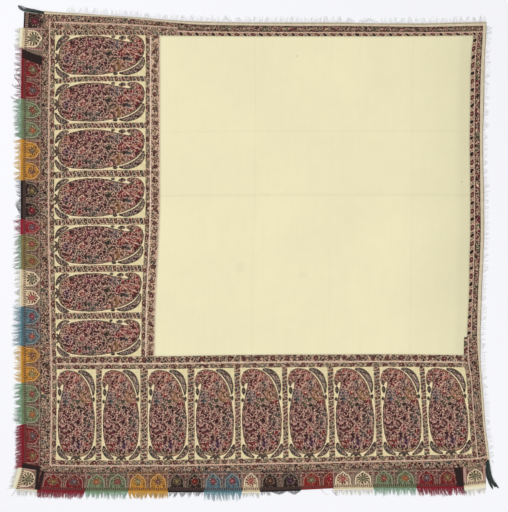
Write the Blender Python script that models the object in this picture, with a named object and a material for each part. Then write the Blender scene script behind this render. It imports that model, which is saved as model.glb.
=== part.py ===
"""A square paisley shawl laid flat.

A plain cream field is framed by woven borders. The left and lower sides carry a row of small gate
panels, each ravelled into its own coloured fringe, and the top and right sides a fringed hem.

Every piece is cut on a straight plan, measured in millimetres from the lower left corner: `along`
runs to the right and `up` towards the top. Two tables of seams then say how far the cloth is
pulled out of square, and a table of folds how far it is lifted off the surface that it lies on.
"""

from collections import namedtuple

import bmesh
import bpy
import numpy as np
from mathutils import Vector

MM = 0.001
SEAM_GAP = 0.3

# The middle of the box round the whole shawl, fringes included.
MIDDLE_ALONG = 811.86
MIDDLE_UP = 825.38

# Straight seams of the plan, left to right.
PANELS_LEFT = 0.0
BORDER_LEFT = 67.0
FIELD_LEFT = 466.0
BORDER_MIDDLE = 1165.0
FIELD_RIGHT = 1560.0
HEM_LEFT = 1603.0
HEM_RIGHT = 1616.0

# Straight seams of the plan, bottom to top.
PANELS_LOW = 0.0
BORDER_LOW = 70.0
FIELD_LOW = 472.0
STRIP_LEVEL = 1550.0
FIELD_TOP = 1589.0
HEM_LOW = 1666.0
HEM_TOP = 1677.0

# The field is let into the right border by this much below the step.
STEP_LOW = 534.0
STEP_HIGH = 537.0
STEP_DEPTH = 12.0

# Cloth thickness of each kind of piece.
FIELD_CLOTH = 1.2
BORDER_CLOTH = 1.4
PANEL_CLOTH = 1.5
HEM_CLOTH = 1.6

# Fringe locks have four sides and taper from the root over two lengths.
ROOT_WIDTH = 3.0
TASSEL_ROOT_SHARE = 0.8
LockRow = namedtuple("LockRow", "share width height lift")
LOCK_ROWS = (
    LockRow(0.5, 2.3, 1.1, 0.4),
    LockRow(1.0, 1.1, 0.7, 0.6),
)
LOCK_BEND = 0.45
LENGTH_SPREAD = 0.3
ROOT_SPREAD = 0.3
LEAN_SPREAD = 16.0
GOLDEN = 0.618034

SeamsUp = namedtuple(
    "SeamsUp", "height panels_left border_left field_left middle field_right hem_left hem_right"
)
SEAMS_UP = (
    SeamsUp(0, -18, 55, 466, 1176, 1600, 1634, 1641),
    SeamsUp(80, 3, 65, 466, 1175, 1595, 1631, 1638),
    SeamsUp(140, 5, 68, 466, 1174, 1589, 1624, 1632),
    SeamsUp(210, 4, 68, 466, 1173, 1583, 1616, 1623),
    SeamsUp(280, 3, 68, 466, 1171, 1578, 1611, 1619),
    SeamsUp(385, 2, 67, 466, 1168, 1571, 1604, 1611),
    SeamsUp(472, 1, 67, 466, 1165, 1560, 1598, 1606),
    SeamsUp(537, 1, 67, 467, 1165, 1560, 1594, 1606),
    SeamsUp(595, 1, 67, 468, 1165, 1562, 1595, 1608),
    SeamsUp(717, 1, 67, 472, 1166, 1567, 1599, 1612),
    SeamsUp(805, 1, 67, 477, 1166, 1568, 1604, 1616),
    SeamsUp(910, 0, 67, 482, 1167, 1571, 1607, 1619),
    SeamsUp(1015, 0, 67, 485, 1167, 1571, 1606, 1619),
    SeamsUp(1137, 0, 68, 485, 1168, 1570, 1605, 1616),
    SeamsUp(1225, 1, 70, 485, 1169, 1569, 1604, 1615),
    SeamsUp(1347, 1, 71, 485, 1170, 1571, 1605, 1619),
    SeamsUp(1452, 2, 72, 485, 1171, 1572, 1607, 1620),
    SeamsUp(1540, 3, 73, 485, 1172, 1576, 1611, 1623),
    SeamsUp(1589, 6, 75, 485, 1173, 1582, 1614, 1626),
    SeamsUp(1677, 10, 79, 485, 1173, 1582, 1615, 1627),
)

SeamsAcross = namedtuple(
    "SeamsAcross", "distance panels_low border_low field_low strip field_top hem_low hem_top"
)
SEAMS_ACROSS = (
    SeamsAcross(-16, 6, 79, 467, 1551, 1591, 1675, 1685),
    SeamsAcross(68, 1, 67, 467, 1537, 1591, 1666, 1677),
    SeamsAcross(145, -4, 63, 467, 1543, 1591, 1663, 1671),
    SeamsAcross(224, -4, 62, 467, 1550, 1591, 1659, 1666),
    SeamsAcross(299, -4, 63, 468, 1550, 1591, 1655, 1660),
    SeamsAcross(373, -4, 64, 468, 1550, 1591, 1649, 1655),
    SeamsAcross(485, -5, 65, 468, 1550, 1590, 1638, 1646),
    SeamsAcross(625, -5, 66, 470, 1550, 1589, 1628, 1639),
    SeamsAcross(835, -4, 68, 473, 1550, 1588, 1625, 1636),
    SeamsAcross(978, 1, 69, 474, 1550, 1588, 1624, 1636),
    SeamsAcross(1090, 6, 72, 474, 1550, 1588, 1624, 1636),
    SeamsAcross(1232, 8, 75, 475, 1550, 1588, 1623, 1633),
    SeamsAcross(1381, 9, 77, 474, 1550, 1589, 1621, 1633),
    SeamsAcross(1465, 10, 79, 473, 1550, 1590, 1622, 1635),
    SeamsAcross(1547, 18, 81, 472, 1550, 1591, 1624, 1637),
    SeamsAcross(1626, 27, 92, 472, 1550, 1592, 1625, 1638),
)

# Soft folds and storage creases: the line each one runs along, how wide it spreads to each side
# and how high it stands. Each dies away at both ends by this power of a sine.
FOLD_END_POWER = 0.5
Fold = namedtuple("Fold", "from_along from_up to_along to_up spread rise")
FOLDS = (
    Fold(500, 1031, 1540, 1031, 26, 1.8),
    Fold(500, 1256, 1540, 1256, 26, 1.1),
    Fold(808, 500, 808, 1560, 22, 1.1),
    Fold(1361, 1110, 1361, 1290, 24, 0.9),
    Fold(1512, 1250, 1566, 1130, 30, 2.2),
    Fold(1500, 560, 1612, 500, 34, 2.4),
    Fold(300, 1668, 520, 1610, 34, 1.8),
    Fold(1480, 150, 1600, 60, 40, 2.6),
    Fold(20, 1560, 150, 1530, 30, 1.8),
    Fold(-10, 90, 66, 10, 26, 2.0),
    Fold(120, 300, 400, 262, 28, 1.2),
    Fold(1010, 120, 1130, 66, 34, 1.6),
    Fold(170, 1118, 460, 1090, 30, 1.2),
)

# Gate panels of the left side from the top down and of the lower side from left to right: where
# each starts and ends, its dye, and its fringe: the heading left woven, the locks and their
# lean in degrees off square, clockwise seen from above.
Gate = namedtuple("Gate", "name start end dye heading locks length lean")
LEFT_GATES = (
    Gate("gate_left_01", 1613.5, HEM_LOW, "dark_red", 0, 0, 0, 0),
    Gate("gate_left_02", 1550, 1613.5, "white", 12, 4, 22, 6),
    Gate("gate_left_03", 1372, 1550, "dark_red", 4, 10, 26, 14),
    Gate("gate_left_04", 1232, 1372, "green", 5, 8, 30, 4),
    Gate("gate_left_05", 1087, 1232, "yellow", 5, 8, 27, -4),
    Gate("gate_left_06", 953, 1087, "black", 4, 7, 21, 10),
    Gate("gate_left_07", 899, 953, "crimson", 5, 3, 29, -8),
    Gate("gate_left_08", 777, 899, "olive", 4, 7, 30, -16),
    Gate("gate_left_09", 647, 777, "white", 5, 7, 26, -6),
    Gate("gate_left_10", 509, 647, "blue", 5, 8, 33, -3),
    Gate("gate_left_11", 378, 509, "yellow", 5, 7, 27, 2),
    Gate("gate_left_12", 231, 378, "green", 5, 8, 31, -5),
    Gate("gate_left_13", 72, 231, "dark_red", 4, 9, 27, -14),
    Gate("gate_corner", 0, 72, "white", 14, 5, 20, -10),
)
LOWER_GATES = (
    Gate("gate_low_01", BORDER_LEFT, 229, "dark_red", 4, 9, 27, 10),
    Gate("gate_low_02", 229, 375, "green", 5, 8, 27, 2),
    Gate("gate_low_03", 375, 512, "yellow", 5, 8, 24, -3),
    Gate("gate_low_04", 512, 635, "black", 4, 7, 19, 4),
    Gate("gate_low_05", 635, 767, "blue", 5, 8, 34, -3),
    Gate("gate_low_06", 767, 829, "white", 6, 4, 21, 0),
    Gate("gate_low_07", 829, 970, "black", 4, 8, 14, -6),
    Gate("gate_low_08", 970, 1081, "red", 0, 0, 0, 0),
    Gate("gate_low_09", 1081, 1217, "white", 6, 8, 24, -8),
    Gate("gate_low_10", 1217, 1357, "green", 5, 9, 27, -10),
    Gate("gate_low_11", 1357, 1512, "dark_red", 5, 9, 29, -16),
    Gate("gate_low_12", 1512, 1592, "white", 16, 6, 26, -6),
)

# The fringes that stand on no gate panel: the side each is on and the same columns.
TOP_HEM = Gate("hem_top", BORDER_LEFT, HEM_RIGHT, "hem", 0, 34, 26, 2)
RIGHT_HEM = Gate("hem_right", BORDER_LOW, HEM_LOW, "hem", 0, 28, 24, 2)
CORNER_LOW = Gate("gate_corner", 0, BORDER_LEFT, "white", 5, 4, 24, 6)

# The two corner tassels: each lies along a panel's end from its root to its locks.
Tassel = namedtuple("Tassel", "name root_along root_up end_along end_up width locks length lean")
TASSELS = (
    Tassel("tassel_top_left", 76.5, 1672.9, 3, 1682.7, 13, 4, 16, -8),
    Tassel("tassel_low_right", 1630.7, 86.5, 1654.2, 22, 17, 4, 26, 8),
)

# Places where every piece crossing them has a row or column of points, so that seams match.
STOPS_ALONG = (
    PANELS_LEFT, 34, BORDER_LEFT, 148, 229, 302, 375, 420, FIELD_LEFT, 512, 573, 635, 701, 767,
    785, 808, 829, 900, 970, 1025, 1081, BORDER_MIDDLE, 1217, 1287, 1357, 1435, 1512, FIELD_RIGHT,
    1592, HEM_LEFT, HEM_RIGHT,
)
STOPS_UP = (
    PANELS_LOW, 35, BORDER_LOW, 72, 157, 231, 304, 378, 437, FIELD_LOW, 509, STEP_LOW, STEP_HIGH,
    595, 647, 717, 777, 840, 899, 953, 1005, 1031, 1057, 1087, 1155, 1232, 1256, 1280, 1372, 1452,
    STRIP_LEVEL, FIELD_TOP, 1613.5, 1638, HEM_LOW, HEM_TOP,
)

# Colour and roughness of each dye.
DYES = {
    "cream": ((0.78, 0.70, 0.46), 0.92),
    "border": ((0.27, 0.15, 0.13), 0.93),
    "hem": ((0.70, 0.62, 0.45), 0.92),
    "dark_red": ((0.26, 0.03, 0.04), 0.93),
    "green": ((0.17, 0.24, 0.15), 0.93),
    "yellow": ((0.55, 0.32, 0.06), 0.92),
    "black": ((0.05, 0.04, 0.04), 0.94),
    "crimson": ((0.36, 0.03, 0.06), 0.93),
    "olive": ((0.22, 0.23, 0.12), 0.93),
    "white": ((0.62, 0.52, 0.42), 0.92),
    "blue": ((0.13, 0.22, 0.26), 0.93),
    "red": ((0.38, 0.03, 0.03), 0.93),
    "tassel": ((0.03, 0.06, 0.05), 0.95),
}
FRINGE_DYES = {
    "hem": ((0.85, 0.82, 0.74), 0.95),
    "dark_red": ((0.36, 0.03, 0.05), 0.95),
    "green": ((0.30, 0.52, 0.40), 0.95),
    "yellow": ((0.75, 0.52, 0.16), 0.95),
    "black": ((0.05, 0.05, 0.05), 0.95),
    "crimson": ((0.45, 0.03, 0.07), 0.95),
    "olive": ((0.42, 0.52, 0.38), 0.95),
    "white": ((0.80, 0.77, 0.62), 0.95),
    "blue": ((0.20, 0.42, 0.48), 0.95),
    "tassel": ((0.03, 0.07, 0.06), 0.95),
}


def smooth_column(stations, values, wanted):
    """Reads a table's column on a smooth curve that never overshoots its values."""
    stations = np.array(stations, float)
    values = np.array(values, float)
    steps = np.diff(stations)
    slopes = np.diff(values) / steps
    product = slopes[:-1] * slopes[1:]
    total = np.where(product > 0, slopes[:-1] + slopes[1:], 1.0)
    tangents = np.concatenate(
        ([slopes[0]], np.where(product > 0, 2 * product / total, 0.0), [slopes[-1]])
    )
    first = np.clip(np.searchsorted(stations, wanted) - 1, 0, len(steps) - 1)
    share = np.clip((wanted - stations[first]) / steps[first], 0, 1)
    square = share * share
    cube = square * share
    return (
        (2 * cube - 3 * square + 1) * values[first]
        + (cube - 2 * square + share) * steps[first] * tangents[first]
        + (3 * square - 2 * cube) * values[first + 1]
        + (cube - square) * steps[first] * tangents[first + 1]
    )


def columns_at_stops(table, stops):
    """Maps each column of a seam table to its values at the stops."""
    stations = [row[0] for row in table]
    wanted = np.array(stops, float)
    return {
        column: smooth_column(stations, [getattr(row, column) for row in table], wanted)
        for column in table[0]._fields[1:]
    }


SEAMS_AT_HEIGHT = columns_at_stops(SEAMS_UP, STOPS_UP)
SEAMS_AT_DISTANCE = columns_at_stops(SEAMS_ACROSS, STOPS_ALONG)

UPRIGHT_LINES = (
    (PANELS_LEFT, "panels_left"),
    (BORDER_LEFT, "border_left"),
    (FIELD_LEFT, "field_left"),
    (BORDER_MIDDLE, "middle"),
    (FIELD_RIGHT, "field_right"),
    (HEM_LEFT, "hem_left"),
    (HEM_RIGHT, "hem_right"),
)
LEVEL_LINES = (
    (PANELS_LOW, "panels_low"),
    (BORDER_LOW, "border_low"),
    (FIELD_LOW, "field_low"),
    (STRIP_LEVEL, "strip"),
    (FIELD_TOP, "field_top"),
)


def seam_across(column, along):
    return float(np.interp(along, STOPS_ALONG, SEAMS_AT_DISTANCE[column]))


def level_in_plan(along, up):
    """Height of a plan level: above the field the cloth narrows towards the right."""
    if up <= FIELD_TOP:
        return up
    hem_low = seam_across("hem_low", along)
    if up <= HEM_LOW:
        return FIELD_TOP + (up - FIELD_TOP) * (hem_low - FIELD_TOP) / (HEM_LOW - FIELD_TOP)
    hem_depth = seam_across("hem_top", along) - hem_low
    return hem_low + (up - HEM_LOW) * hem_depth / (HEM_TOP - HEM_LOW)


def laid(along, up):
    """Place of a plan point on the surface, in millimetres from the plan's corner."""
    pulls = [
        float(np.interp(up, STOPS_UP, SEAMS_AT_HEIGHT[column])) - line
        for line, column in UPRIGHT_LINES
    ]
    pull_along = float(np.interp(along, [line for line, _ in UPRIGHT_LINES], pulls))
    lifts = [seam_across(column, along) - line for line, column in LEVEL_LINES]
    levels = [line for line, _ in LEVEL_LINES]
    pull_up = float(np.interp(up, levels + [HEM_LOW], lifts + [0.0]))
    return along + pull_along, level_in_plan(along, up) + pull_up


def fold_rise(x, y):
    """How far the folds lift the cloth at a place."""
    rise = 0.0
    for fold in FOLDS:
        run = (fold.to_along - fold.from_along, fold.to_up - fold.from_up)
        length = float(np.hypot(*run))
        past = (x - fold.from_along, y - fold.from_up)
        share = (past[0] * run[0] + past[1] * run[1]) / length**2
        off = abs(past[0] * run[1] - past[1] * run[0]) / length
        if 0 < share < 1 and off < fold.spread:
            ends = np.sin(np.pi * share) ** FOLD_END_POWER
            crest = np.cos(np.pi * off / fold.spread / 2) ** 2
            rise = max(rise, fold.rise * float(ends * crest))
    return rise


def place(x, y, lift=0.0):
    """A point in metres from the middle of the shawl."""
    return Vector(((x - MIDDLE_ALONG) * MM, (y - MIDDLE_UP) * MM, (fold_rise(x, y) + lift) * MM))


def stops_between(stops, start, end):
    inside = [stop for stop in stops if start < stop < end]
    return [start + SEAM_GAP / 2, *inside, end - SEAM_GAP / 2]


def field_edge(along, up):
    """Moves points on the field's right seam in where the border below the step is wider."""
    step = STEP_DEPTH if up < (STEP_LOW + STEP_HIGH) / 2 else 0.0
    return along - step if abs(along - FIELD_RIGHT) < SEAM_GAP else along


def dyed(name, dyes, dye):
    """Material of one dye, made once."""
    material = bpy.data.materials.get(name)
    if material is None:
        colour, roughness = dyes[dye]
        material = bpy.data.materials.new(name)
        material.use_nodes = True
        shader = material.node_tree.nodes["Principled BSDF"]
        shader.inputs["Base Color"].default_value = (*colour, 1.0)
        shader.inputs["Roughness"].default_value = roughness
        shader.inputs["Metallic"].default_value = 0.0
    return material


def thicken(mesh, thickness):
    """Extrudes a flat-lying sheet upwards into a wall of cloth."""
    lifted = bmesh.ops.extrude_face_region(mesh, geom=list(mesh.faces))
    upper = [part for part in lifted["geom"] if isinstance(part, bmesh.types.BMVert)]
    bmesh.ops.translate(mesh, verts=upper, vec=(0, 0, thickness * MM))


def finish_piece(name, mesh, material):
    """Makes the named object, with its origin in the middle of its own footprint."""
    places = np.array([vertex.co for vertex in mesh.verts])
    middle = (places.min(axis=0) + places.max(axis=0)) / 2
    origin = Vector((middle[0], middle[1], 0.0))
    bmesh.ops.translate(mesh, verts=mesh.verts, vec=-origin)
    bmesh.ops.recalc_face_normals(mesh, faces=mesh.faces)
    data = bpy.data.meshes.new(name)
    mesh.to_mesh(data)
    mesh.free()
    data.materials.append(material)
    piece = bpy.data.objects.new(name, data)
    piece.location = origin
    bpy.context.scene.collection.objects.link(piece)
    return piece


def add_panel(name, left, right, low, high, thickness, dye):
    """A piece of cloth between four seams of the plan."""
    mesh = bmesh.new()
    columns = stops_between(STOPS_ALONG, left, right)
    rows = stops_between(STOPS_UP, low, high)
    grid = [
        [mesh.verts.new(place(*laid(field_edge(along, up), up))) for along in columns]
        for up in rows
    ]
    for below, above in zip(grid, grid[1:]):
        for corner in range(len(columns) - 1):
            mesh.faces.new(
                (below[corner], below[corner + 1], above[corner + 1], above[corner])
            )
    thicken(mesh, thickness)
    return finish_piece(name, mesh, dyed(f"cloth_{dye}", DYES, dye))


def lock_roots(start, end, count):
    """Centres of a fringe's roots, evenly spread but for a small unevenness."""
    pitch = (end - start) / count
    return [
        start + pitch * (number + 0.5 + ROOT_SPREAD * (((number + start) * GOLDEN) % 1 - 0.5))
        for number in range(count)
    ]


def join_rows(mesh, inner, outer):
    """Fills the strip between two rows of (distance, vertex) with triangles."""
    first, second = 0, 0
    while first < len(inner) - 1 or second < len(outer) - 1:
        inner_next = inner[first + 1][0] if first < len(inner) - 1 else np.inf
        outer_next = outer[second + 1][0] if second < len(outer) - 1 else np.inf
        if inner_next <= outer_next:
            mesh.faces.new((inner[first][1], inner[first + 1][1], outer[second][1]))
            first += 1
        else:
            mesh.faces.new((inner[first][1], outer[second + 1][1], outer[second][1]))
            second += 1


def side_face(first, second):
    """The upright face that stands on the edge between two lower corners."""
    shared = [face for face in first.link_faces if second in face.verts]
    return next(face for face in shared if len(face.verts) == 4)


def draw_lock(mesh, first, second, away_from, length, lean, number):
    """Draws one lock out of the heading's side between two corners, as tapering lengths."""
    root = side_face(first, second)
    middle = root.calc_center_median()
    along = (second.co - first.co).normalized()
    outward = Vector((along.y, -along.x, 0.0))
    if outward.dot(middle - away_from) < 0:
        outward = -outward
    uneven = (number * GOLDEN) % 1 - 0.5
    turn = np.radians(lean + LEAN_SPREAD * ((number * GOLDEN * GOLDEN) % 1 - 0.5))
    ahead = Vector(
        (
            outward.x * np.cos(turn) + outward.y * np.sin(turn),
            outward.y * np.cos(turn) - outward.x * np.sin(turn),
            0.0,
        )
    )
    side = Vector((ahead.y, -ahead.x, 0.0))
    marks = [
        (vertex.co.z > middle.z, 1.0 if (vertex.co - middle).dot(side) > 0 else -1.0)
        for vertex in (loop.vert for loop in root.loops)
    ]
    ring = [loop.vert for loop in root.loops]
    base = min(vertex.co.z for vertex in ring)
    mesh.faces.remove(root)
    for row in LOCK_ROWS:
        bow = LOCK_BEND * uneven * length * (row.share - row.share**2)
        reach = length * (1.0 + LENGTH_SPREAD * uneven) * row.share
        centre = middle + ahead * (reach * MM) + side * (bow * MM)
        low = base * (1.0 - row.share) + row.lift * MM
        following = [
            mesh.verts.new(
                (
                    centre.x + side.x * sign * row.width / 2 * MM,
                    centre.y + side.y * sign * row.width / 2 * MM,
                    low + row.height * MM if is_upper else low,
                )
            )
            for is_upper, sign in marks
        ]
        for corner in range(4):
            after = (corner + 1) % 4
            mesh.faces.new((ring[corner], ring[after], following[after], following[corner]))
        ring = following
    mesh.faces.new(ring)


def add_fringe(name, points, inner_row, outer_row, roots, thickness, gate):
    """A heading between two rows of distances, with a lock drawn out of each root."""
    mesh = bmesh.new()
    inner = [(distance, mesh.verts.new(points(distance, False))) for distance in inner_row]
    outer = [(distance, mesh.verts.new(points(distance, True))) for distance in outer_row]
    join_rows(mesh, inner, outer)
    thicken(mesh, thickness)
    corners = dict(outer)
    for number, (start, end) in enumerate(roots):
        away_from = points((start + end) / 2, False)
        draw_lock(
            mesh, corners[start], corners[end], away_from, gate.length, gate.lean, number
        )
    return finish_piece(name, mesh, dyed(f"fringe_{gate.dye}", FRINGE_DYES, gate.dye))


def fringe_rows(stops, start, end, locks):
    """The inner and outer rows of a heading and its roots, as distances along it."""
    inner_row = stops_between(stops, start, end)
    roots = [
        (root - ROOT_WIDTH / 2, root + ROOT_WIDTH / 2)
        for root in lock_roots(start + ROOT_WIDTH, end - ROOT_WIDTH, locks)
    ]
    free = [
        stop
        for stop in inner_row
        if all(stop < low - SEAM_GAP or stop > high + SEAM_GAP for low, high in roots)
    ]
    outer_row = sorted(free + [edge for root in roots for edge in root])
    return inner_row, outer_row, roots


def add_side_fringe(name, gate, upright, inner, outer, thickness):
    """A fringe along a straight side of the plan, from its inner to its outer line."""
    stops = STOPS_UP if upright else STOPS_ALONG

    def points(distance, is_outer):
        depth = outer if is_outer else inner
        return place(*laid(depth, distance) if upright else laid(distance, depth))

    rows = fringe_rows(stops, gate.start, gate.end, gate.locks)
    return add_fringe(name, points, *rows, thickness, gate)


def add_tassel(tassel):
    """A corner tassel: a short woven end that parts into locks."""
    root = Vector((tassel.root_along, tassel.root_up))
    end = Vector((tassel.end_along, tassel.end_up))
    across = (end - root).normalized().orthogonal() * tassel.width
    gate = Gate(
        tassel.name, 0.0, 1.0, "tassel", 0, tassel.locks, tassel.length, tassel.lean
    )

    def points(distance, is_outer):
        return place(*((end if is_outer else root) + across * (distance - 0.5)))

    share = ROOT_WIDTH / tassel.width * TASSEL_ROOT_SHARE
    centres = [(number + 0.5) / tassel.locks for number in range(tassel.locks)]
    roots = [(centre - share / 2, centre + share / 2) for centre in centres]
    outer_row = [0.0, *[edge for root in roots for edge in root], 1.0]
    return add_fringe(tassel.name, points, [0.0, 1.0], outer_row, roots, PANEL_CLOTH, gate)


def add_gate_fringe(gate, upright):
    side = "left" if upright else "low"
    name = f"{gate.name}_fringe_{side}"
    inner = -SEAM_GAP / 2
    outer = inner - gate.heading
    return add_side_fringe(name, gate, upright, inner, outer, BORDER_CLOTH)


def clear_scene():
    for item in list(bpy.data.objects):
        bpy.data.objects.remove(item, do_unlink=True)


def main():
    clear_scene()
    add_panel("field", FIELD_LEFT, FIELD_RIGHT, FIELD_LOW, FIELD_TOP, FIELD_CLOTH, "cream")
    add_panel("border_left", BORDER_LEFT, FIELD_LEFT, FIELD_LOW, HEM_LOW, BORDER_CLOTH, "border")
    add_panel("border_low", BORDER_LEFT, HEM_LEFT, BORDER_LOW, FIELD_LOW, BORDER_CLOTH, "border")
    add_panel("border_top", FIELD_LEFT, HEM_LEFT, FIELD_TOP, HEM_LOW, BORDER_CLOTH, "border")
    add_panel("border_right", FIELD_RIGHT, HEM_LEFT, FIELD_LOW, FIELD_TOP, BORDER_CLOTH, "border")
    add_side_fringe("hem_top", TOP_HEM, False, HEM_LOW + SEAM_GAP / 2, HEM_TOP, HEM_CLOTH)
    add_side_fringe("hem_right", RIGHT_HEM, True, HEM_LEFT + SEAM_GAP / 2, HEM_RIGHT, HEM_CLOTH)
    for gate in LEFT_GATES:
        add_panel(
            gate.name, PANELS_LEFT, BORDER_LEFT, gate.start, gate.end, PANEL_CLOTH, gate.dye
        )
    for gate in LOWER_GATES:
        add_panel(gate.name, gate.start, gate.end, PANELS_LOW, BORDER_LOW, PANEL_CLOTH, gate.dye)
    for gate in LEFT_GATES:
        if gate.locks:
            add_gate_fringe(gate, True)
    for gate in (*LOWER_GATES, CORNER_LOW):
        if gate.locks:
            add_gate_fringe(gate, False)
    for tassel in TASSELS:
        add_tassel(tassel)


if __name__ == "__main__":
    main()
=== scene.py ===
"""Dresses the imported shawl: woven cloth, gate panels, hems and fringes, laid on a pale floor."""

from collections import namedtuple

import bpy
import numpy as np
from bpy.props import FloatProperty, FloatVectorProperty, PointerProperty
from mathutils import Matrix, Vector


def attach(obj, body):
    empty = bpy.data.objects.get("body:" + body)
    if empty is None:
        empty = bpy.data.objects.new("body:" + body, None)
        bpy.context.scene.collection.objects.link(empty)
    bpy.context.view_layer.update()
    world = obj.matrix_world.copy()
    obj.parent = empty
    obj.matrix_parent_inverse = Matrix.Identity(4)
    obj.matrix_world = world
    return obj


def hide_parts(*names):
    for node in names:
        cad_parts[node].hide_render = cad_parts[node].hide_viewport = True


bl_info = {
    "name": "Paisley Shawl",
    "version": (1, 0, 0),
    "blender": (4, 5, 0),
    "location": "3D View > Sidebar > Shawl",
    "description": "Lays out a square shawl with woven borders, gate panels and ravelled fringes",
    "category": "Add Mesh",
}

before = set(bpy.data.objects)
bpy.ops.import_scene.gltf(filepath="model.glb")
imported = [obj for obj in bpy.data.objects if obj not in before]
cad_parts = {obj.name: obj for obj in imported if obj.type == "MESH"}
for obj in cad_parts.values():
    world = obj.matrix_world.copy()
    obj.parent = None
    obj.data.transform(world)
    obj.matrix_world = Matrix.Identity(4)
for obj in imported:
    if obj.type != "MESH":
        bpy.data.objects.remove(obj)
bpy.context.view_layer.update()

MM = 0.001
BODY = "root"


def rows(kind, *values):
    """Gives the rows of a small table their columns' names."""
    return tuple(kind(*row) for row in values)


# The straight plan of the cut, in millimetres from its lower left corner.
MIDDLE_ALONG = 811.86
MIDDLE_UP = 825.38
PANELS_LEFT = 0.0
BORDER_LEFT = 67.0
FIELD_LEFT = 466.0
BORDER_MIDDLE = 1165.0
FIELD_RIGHT = 1560.0
HEM_LEFT = 1603.0
HEM_RIGHT = 1616.0
PANELS_LOW = 0.0
BORDER_LOW = 70.0
FIELD_LOW = 472.0
STRIP_LEVEL = 1550.0
FIELD_TOP = 1589.0
HEM_LOW = 1666.0
HEM_TOP = 1677.0
STEP_LOW = 534.0
STEP_HIGH = 537.0
STEP_DEPTH = 12.0

SeamsUp = namedtuple(
    "SeamsUp", "height panels_left border_left field_left middle field_right hem_left hem_right"
)
SEAMS_UP = rows(
    SeamsUp,
    (0, -18, 55, 466, 1176, 1600, 1634, 1641),
    (80, 3, 65, 466, 1175, 1595, 1631, 1638),
    (140, 5, 68, 466, 1174, 1589, 1624, 1632),
    (210, 4, 68, 466, 1173, 1583, 1616, 1623),
    (280, 3, 68, 466, 1171, 1578, 1611, 1619),
    (385, 2, 67, 466, 1168, 1571, 1604, 1611),
    (472, 1, 67, 466, 1165, 1560, 1598, 1606),
    (537, 1, 67, 467, 1165, 1560, 1594, 1606),
    (595, 1, 67, 468, 1165, 1562, 1595, 1608),
    (717, 1, 67, 472, 1166, 1567, 1599, 1612),
    (805, 1, 67, 477, 1166, 1568, 1604, 1616),
    (910, 0, 67, 482, 1167, 1571, 1607, 1619),
    (1015, 0, 67, 485, 1167, 1571, 1606, 1619),
    (1137, 0, 68, 485, 1168, 1570, 1605, 1616),
    (1225, 1, 70, 485, 1169, 1569, 1604, 1615),
    (1347, 1, 71, 485, 1170, 1571, 1605, 1619),
    (1452, 2, 72, 485, 1171, 1572, 1607, 1620),
    (1540, 3, 73, 485, 1172, 1576, 1611, 1623),
    (1589, 6, 75, 485, 1173, 1582, 1614, 1626),
    (1677, 10, 79, 485, 1173, 1582, 1615, 1627),
)

SeamsAcross = namedtuple(
    "SeamsAcross", "distance panels_low border_low field_low strip field_top hem_low hem_top"
)
SEAMS_ACROSS = rows(
    SeamsAcross,
    (-16, 6, 79, 467, 1551, 1591, 1675, 1685),
    (68, 1, 67, 467, 1537, 1591, 1666, 1677),
    (145, -4, 63, 467, 1543, 1591, 1663, 1671),
    (224, -4, 62, 467, 1550, 1591, 1659, 1666),
    (299, -4, 63, 468, 1550, 1591, 1655, 1660),
    (373, -4, 64, 468, 1550, 1591, 1649, 1655),
    (485, -5, 65, 468, 1550, 1590, 1638, 1646),
    (625, -5, 66, 470, 1550, 1589, 1628, 1639),
    (835, -4, 68, 473, 1550, 1588, 1625, 1636),
    (978, 1, 69, 474, 1550, 1588, 1624, 1636),
    (1090, 6, 72, 474, 1550, 1588, 1624, 1636),
    (1232, 8, 75, 475, 1550, 1588, 1623, 1633),
    (1381, 9, 77, 474, 1550, 1589, 1621, 1633),
    (1465, 10, 79, 473, 1550, 1590, 1622, 1635),
    (1547, 18, 81, 472, 1550, 1591, 1624, 1637),
    (1626, 27, 92, 472, 1550, 1592, 1625, 1638),
)

# The pale line beside the left seam runs nearly straight while the seam sways, and the one above
# the lower seam strays from it too: stations along each, and how far it lies off there.
STRAIGHT_LINE = 98.0
LEFT_STATIONS = (87, 245, 402, 560, 717, 875, 1032, 1190, 1347, 1505)
LEFT_STRAYS = (3.0, 6.5, 7.3, 3.5, 0.7, -2.8, -3.5, -2.8, -2.8, 0.0)
LOWER_LINE = 96.0
LOWER_STATIONS = (190, 360, 535, 710, 890, 1060, 1235, 1410, 1590)
LOWER_STRAYS = (-4.2, -6.0, -6.3, -4.5, -2.5, -1.4, -1.7, 0.0, 3.0)
UPRIGHT_LINES = np.array(
    [
        PANELS_LEFT, BORDER_LEFT, STRAIGHT_LINE, FIELD_LEFT, BORDER_MIDDLE, FIELD_RIGHT, HEM_LEFT,
        HEM_RIGHT,
    ]
)
LEVEL_LINES = np.array([PANELS_LOW, BORDER_LOW, FIELD_LOW, STRIP_LEVEL, FIELD_TOP, HEM_LOW])

# Soft folds: the line each runs along, how wide it spreads to each side and how high it stands.
Fold = namedtuple("Fold", "from_along from_up to_along to_up spread rise")
FOLDS = rows(
    Fold,
    (500, 1031, 1540, 1031, 26, 1.8),
    (500, 1256, 1540, 1256, 26, 1.1),
    (808, 500, 808, 1560, 22, 1.1),
    (1361, 1110, 1361, 1290, 24, 0.9),
    (1512, 1250, 1566, 1130, 30, 2.2),
    (1500, 560, 1612, 500, 34, 2.4),
    (300, 1668, 520, 1610, 34, 1.8),
    (1480, 150, 1600, 60, 40, 2.6),
    (20, 1560, 150, 1530, 30, 1.8),
    (-10, 90, 66, 10, 26, 2.0),
    (120, 300, 400, 262, 28, 1.2),
    (1010, 120, 1130, 66, 34, 1.6),
    (170, 1118, 460, 1090, 30, 1.2),
)
FOLD_END_POWER = 0.5

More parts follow.
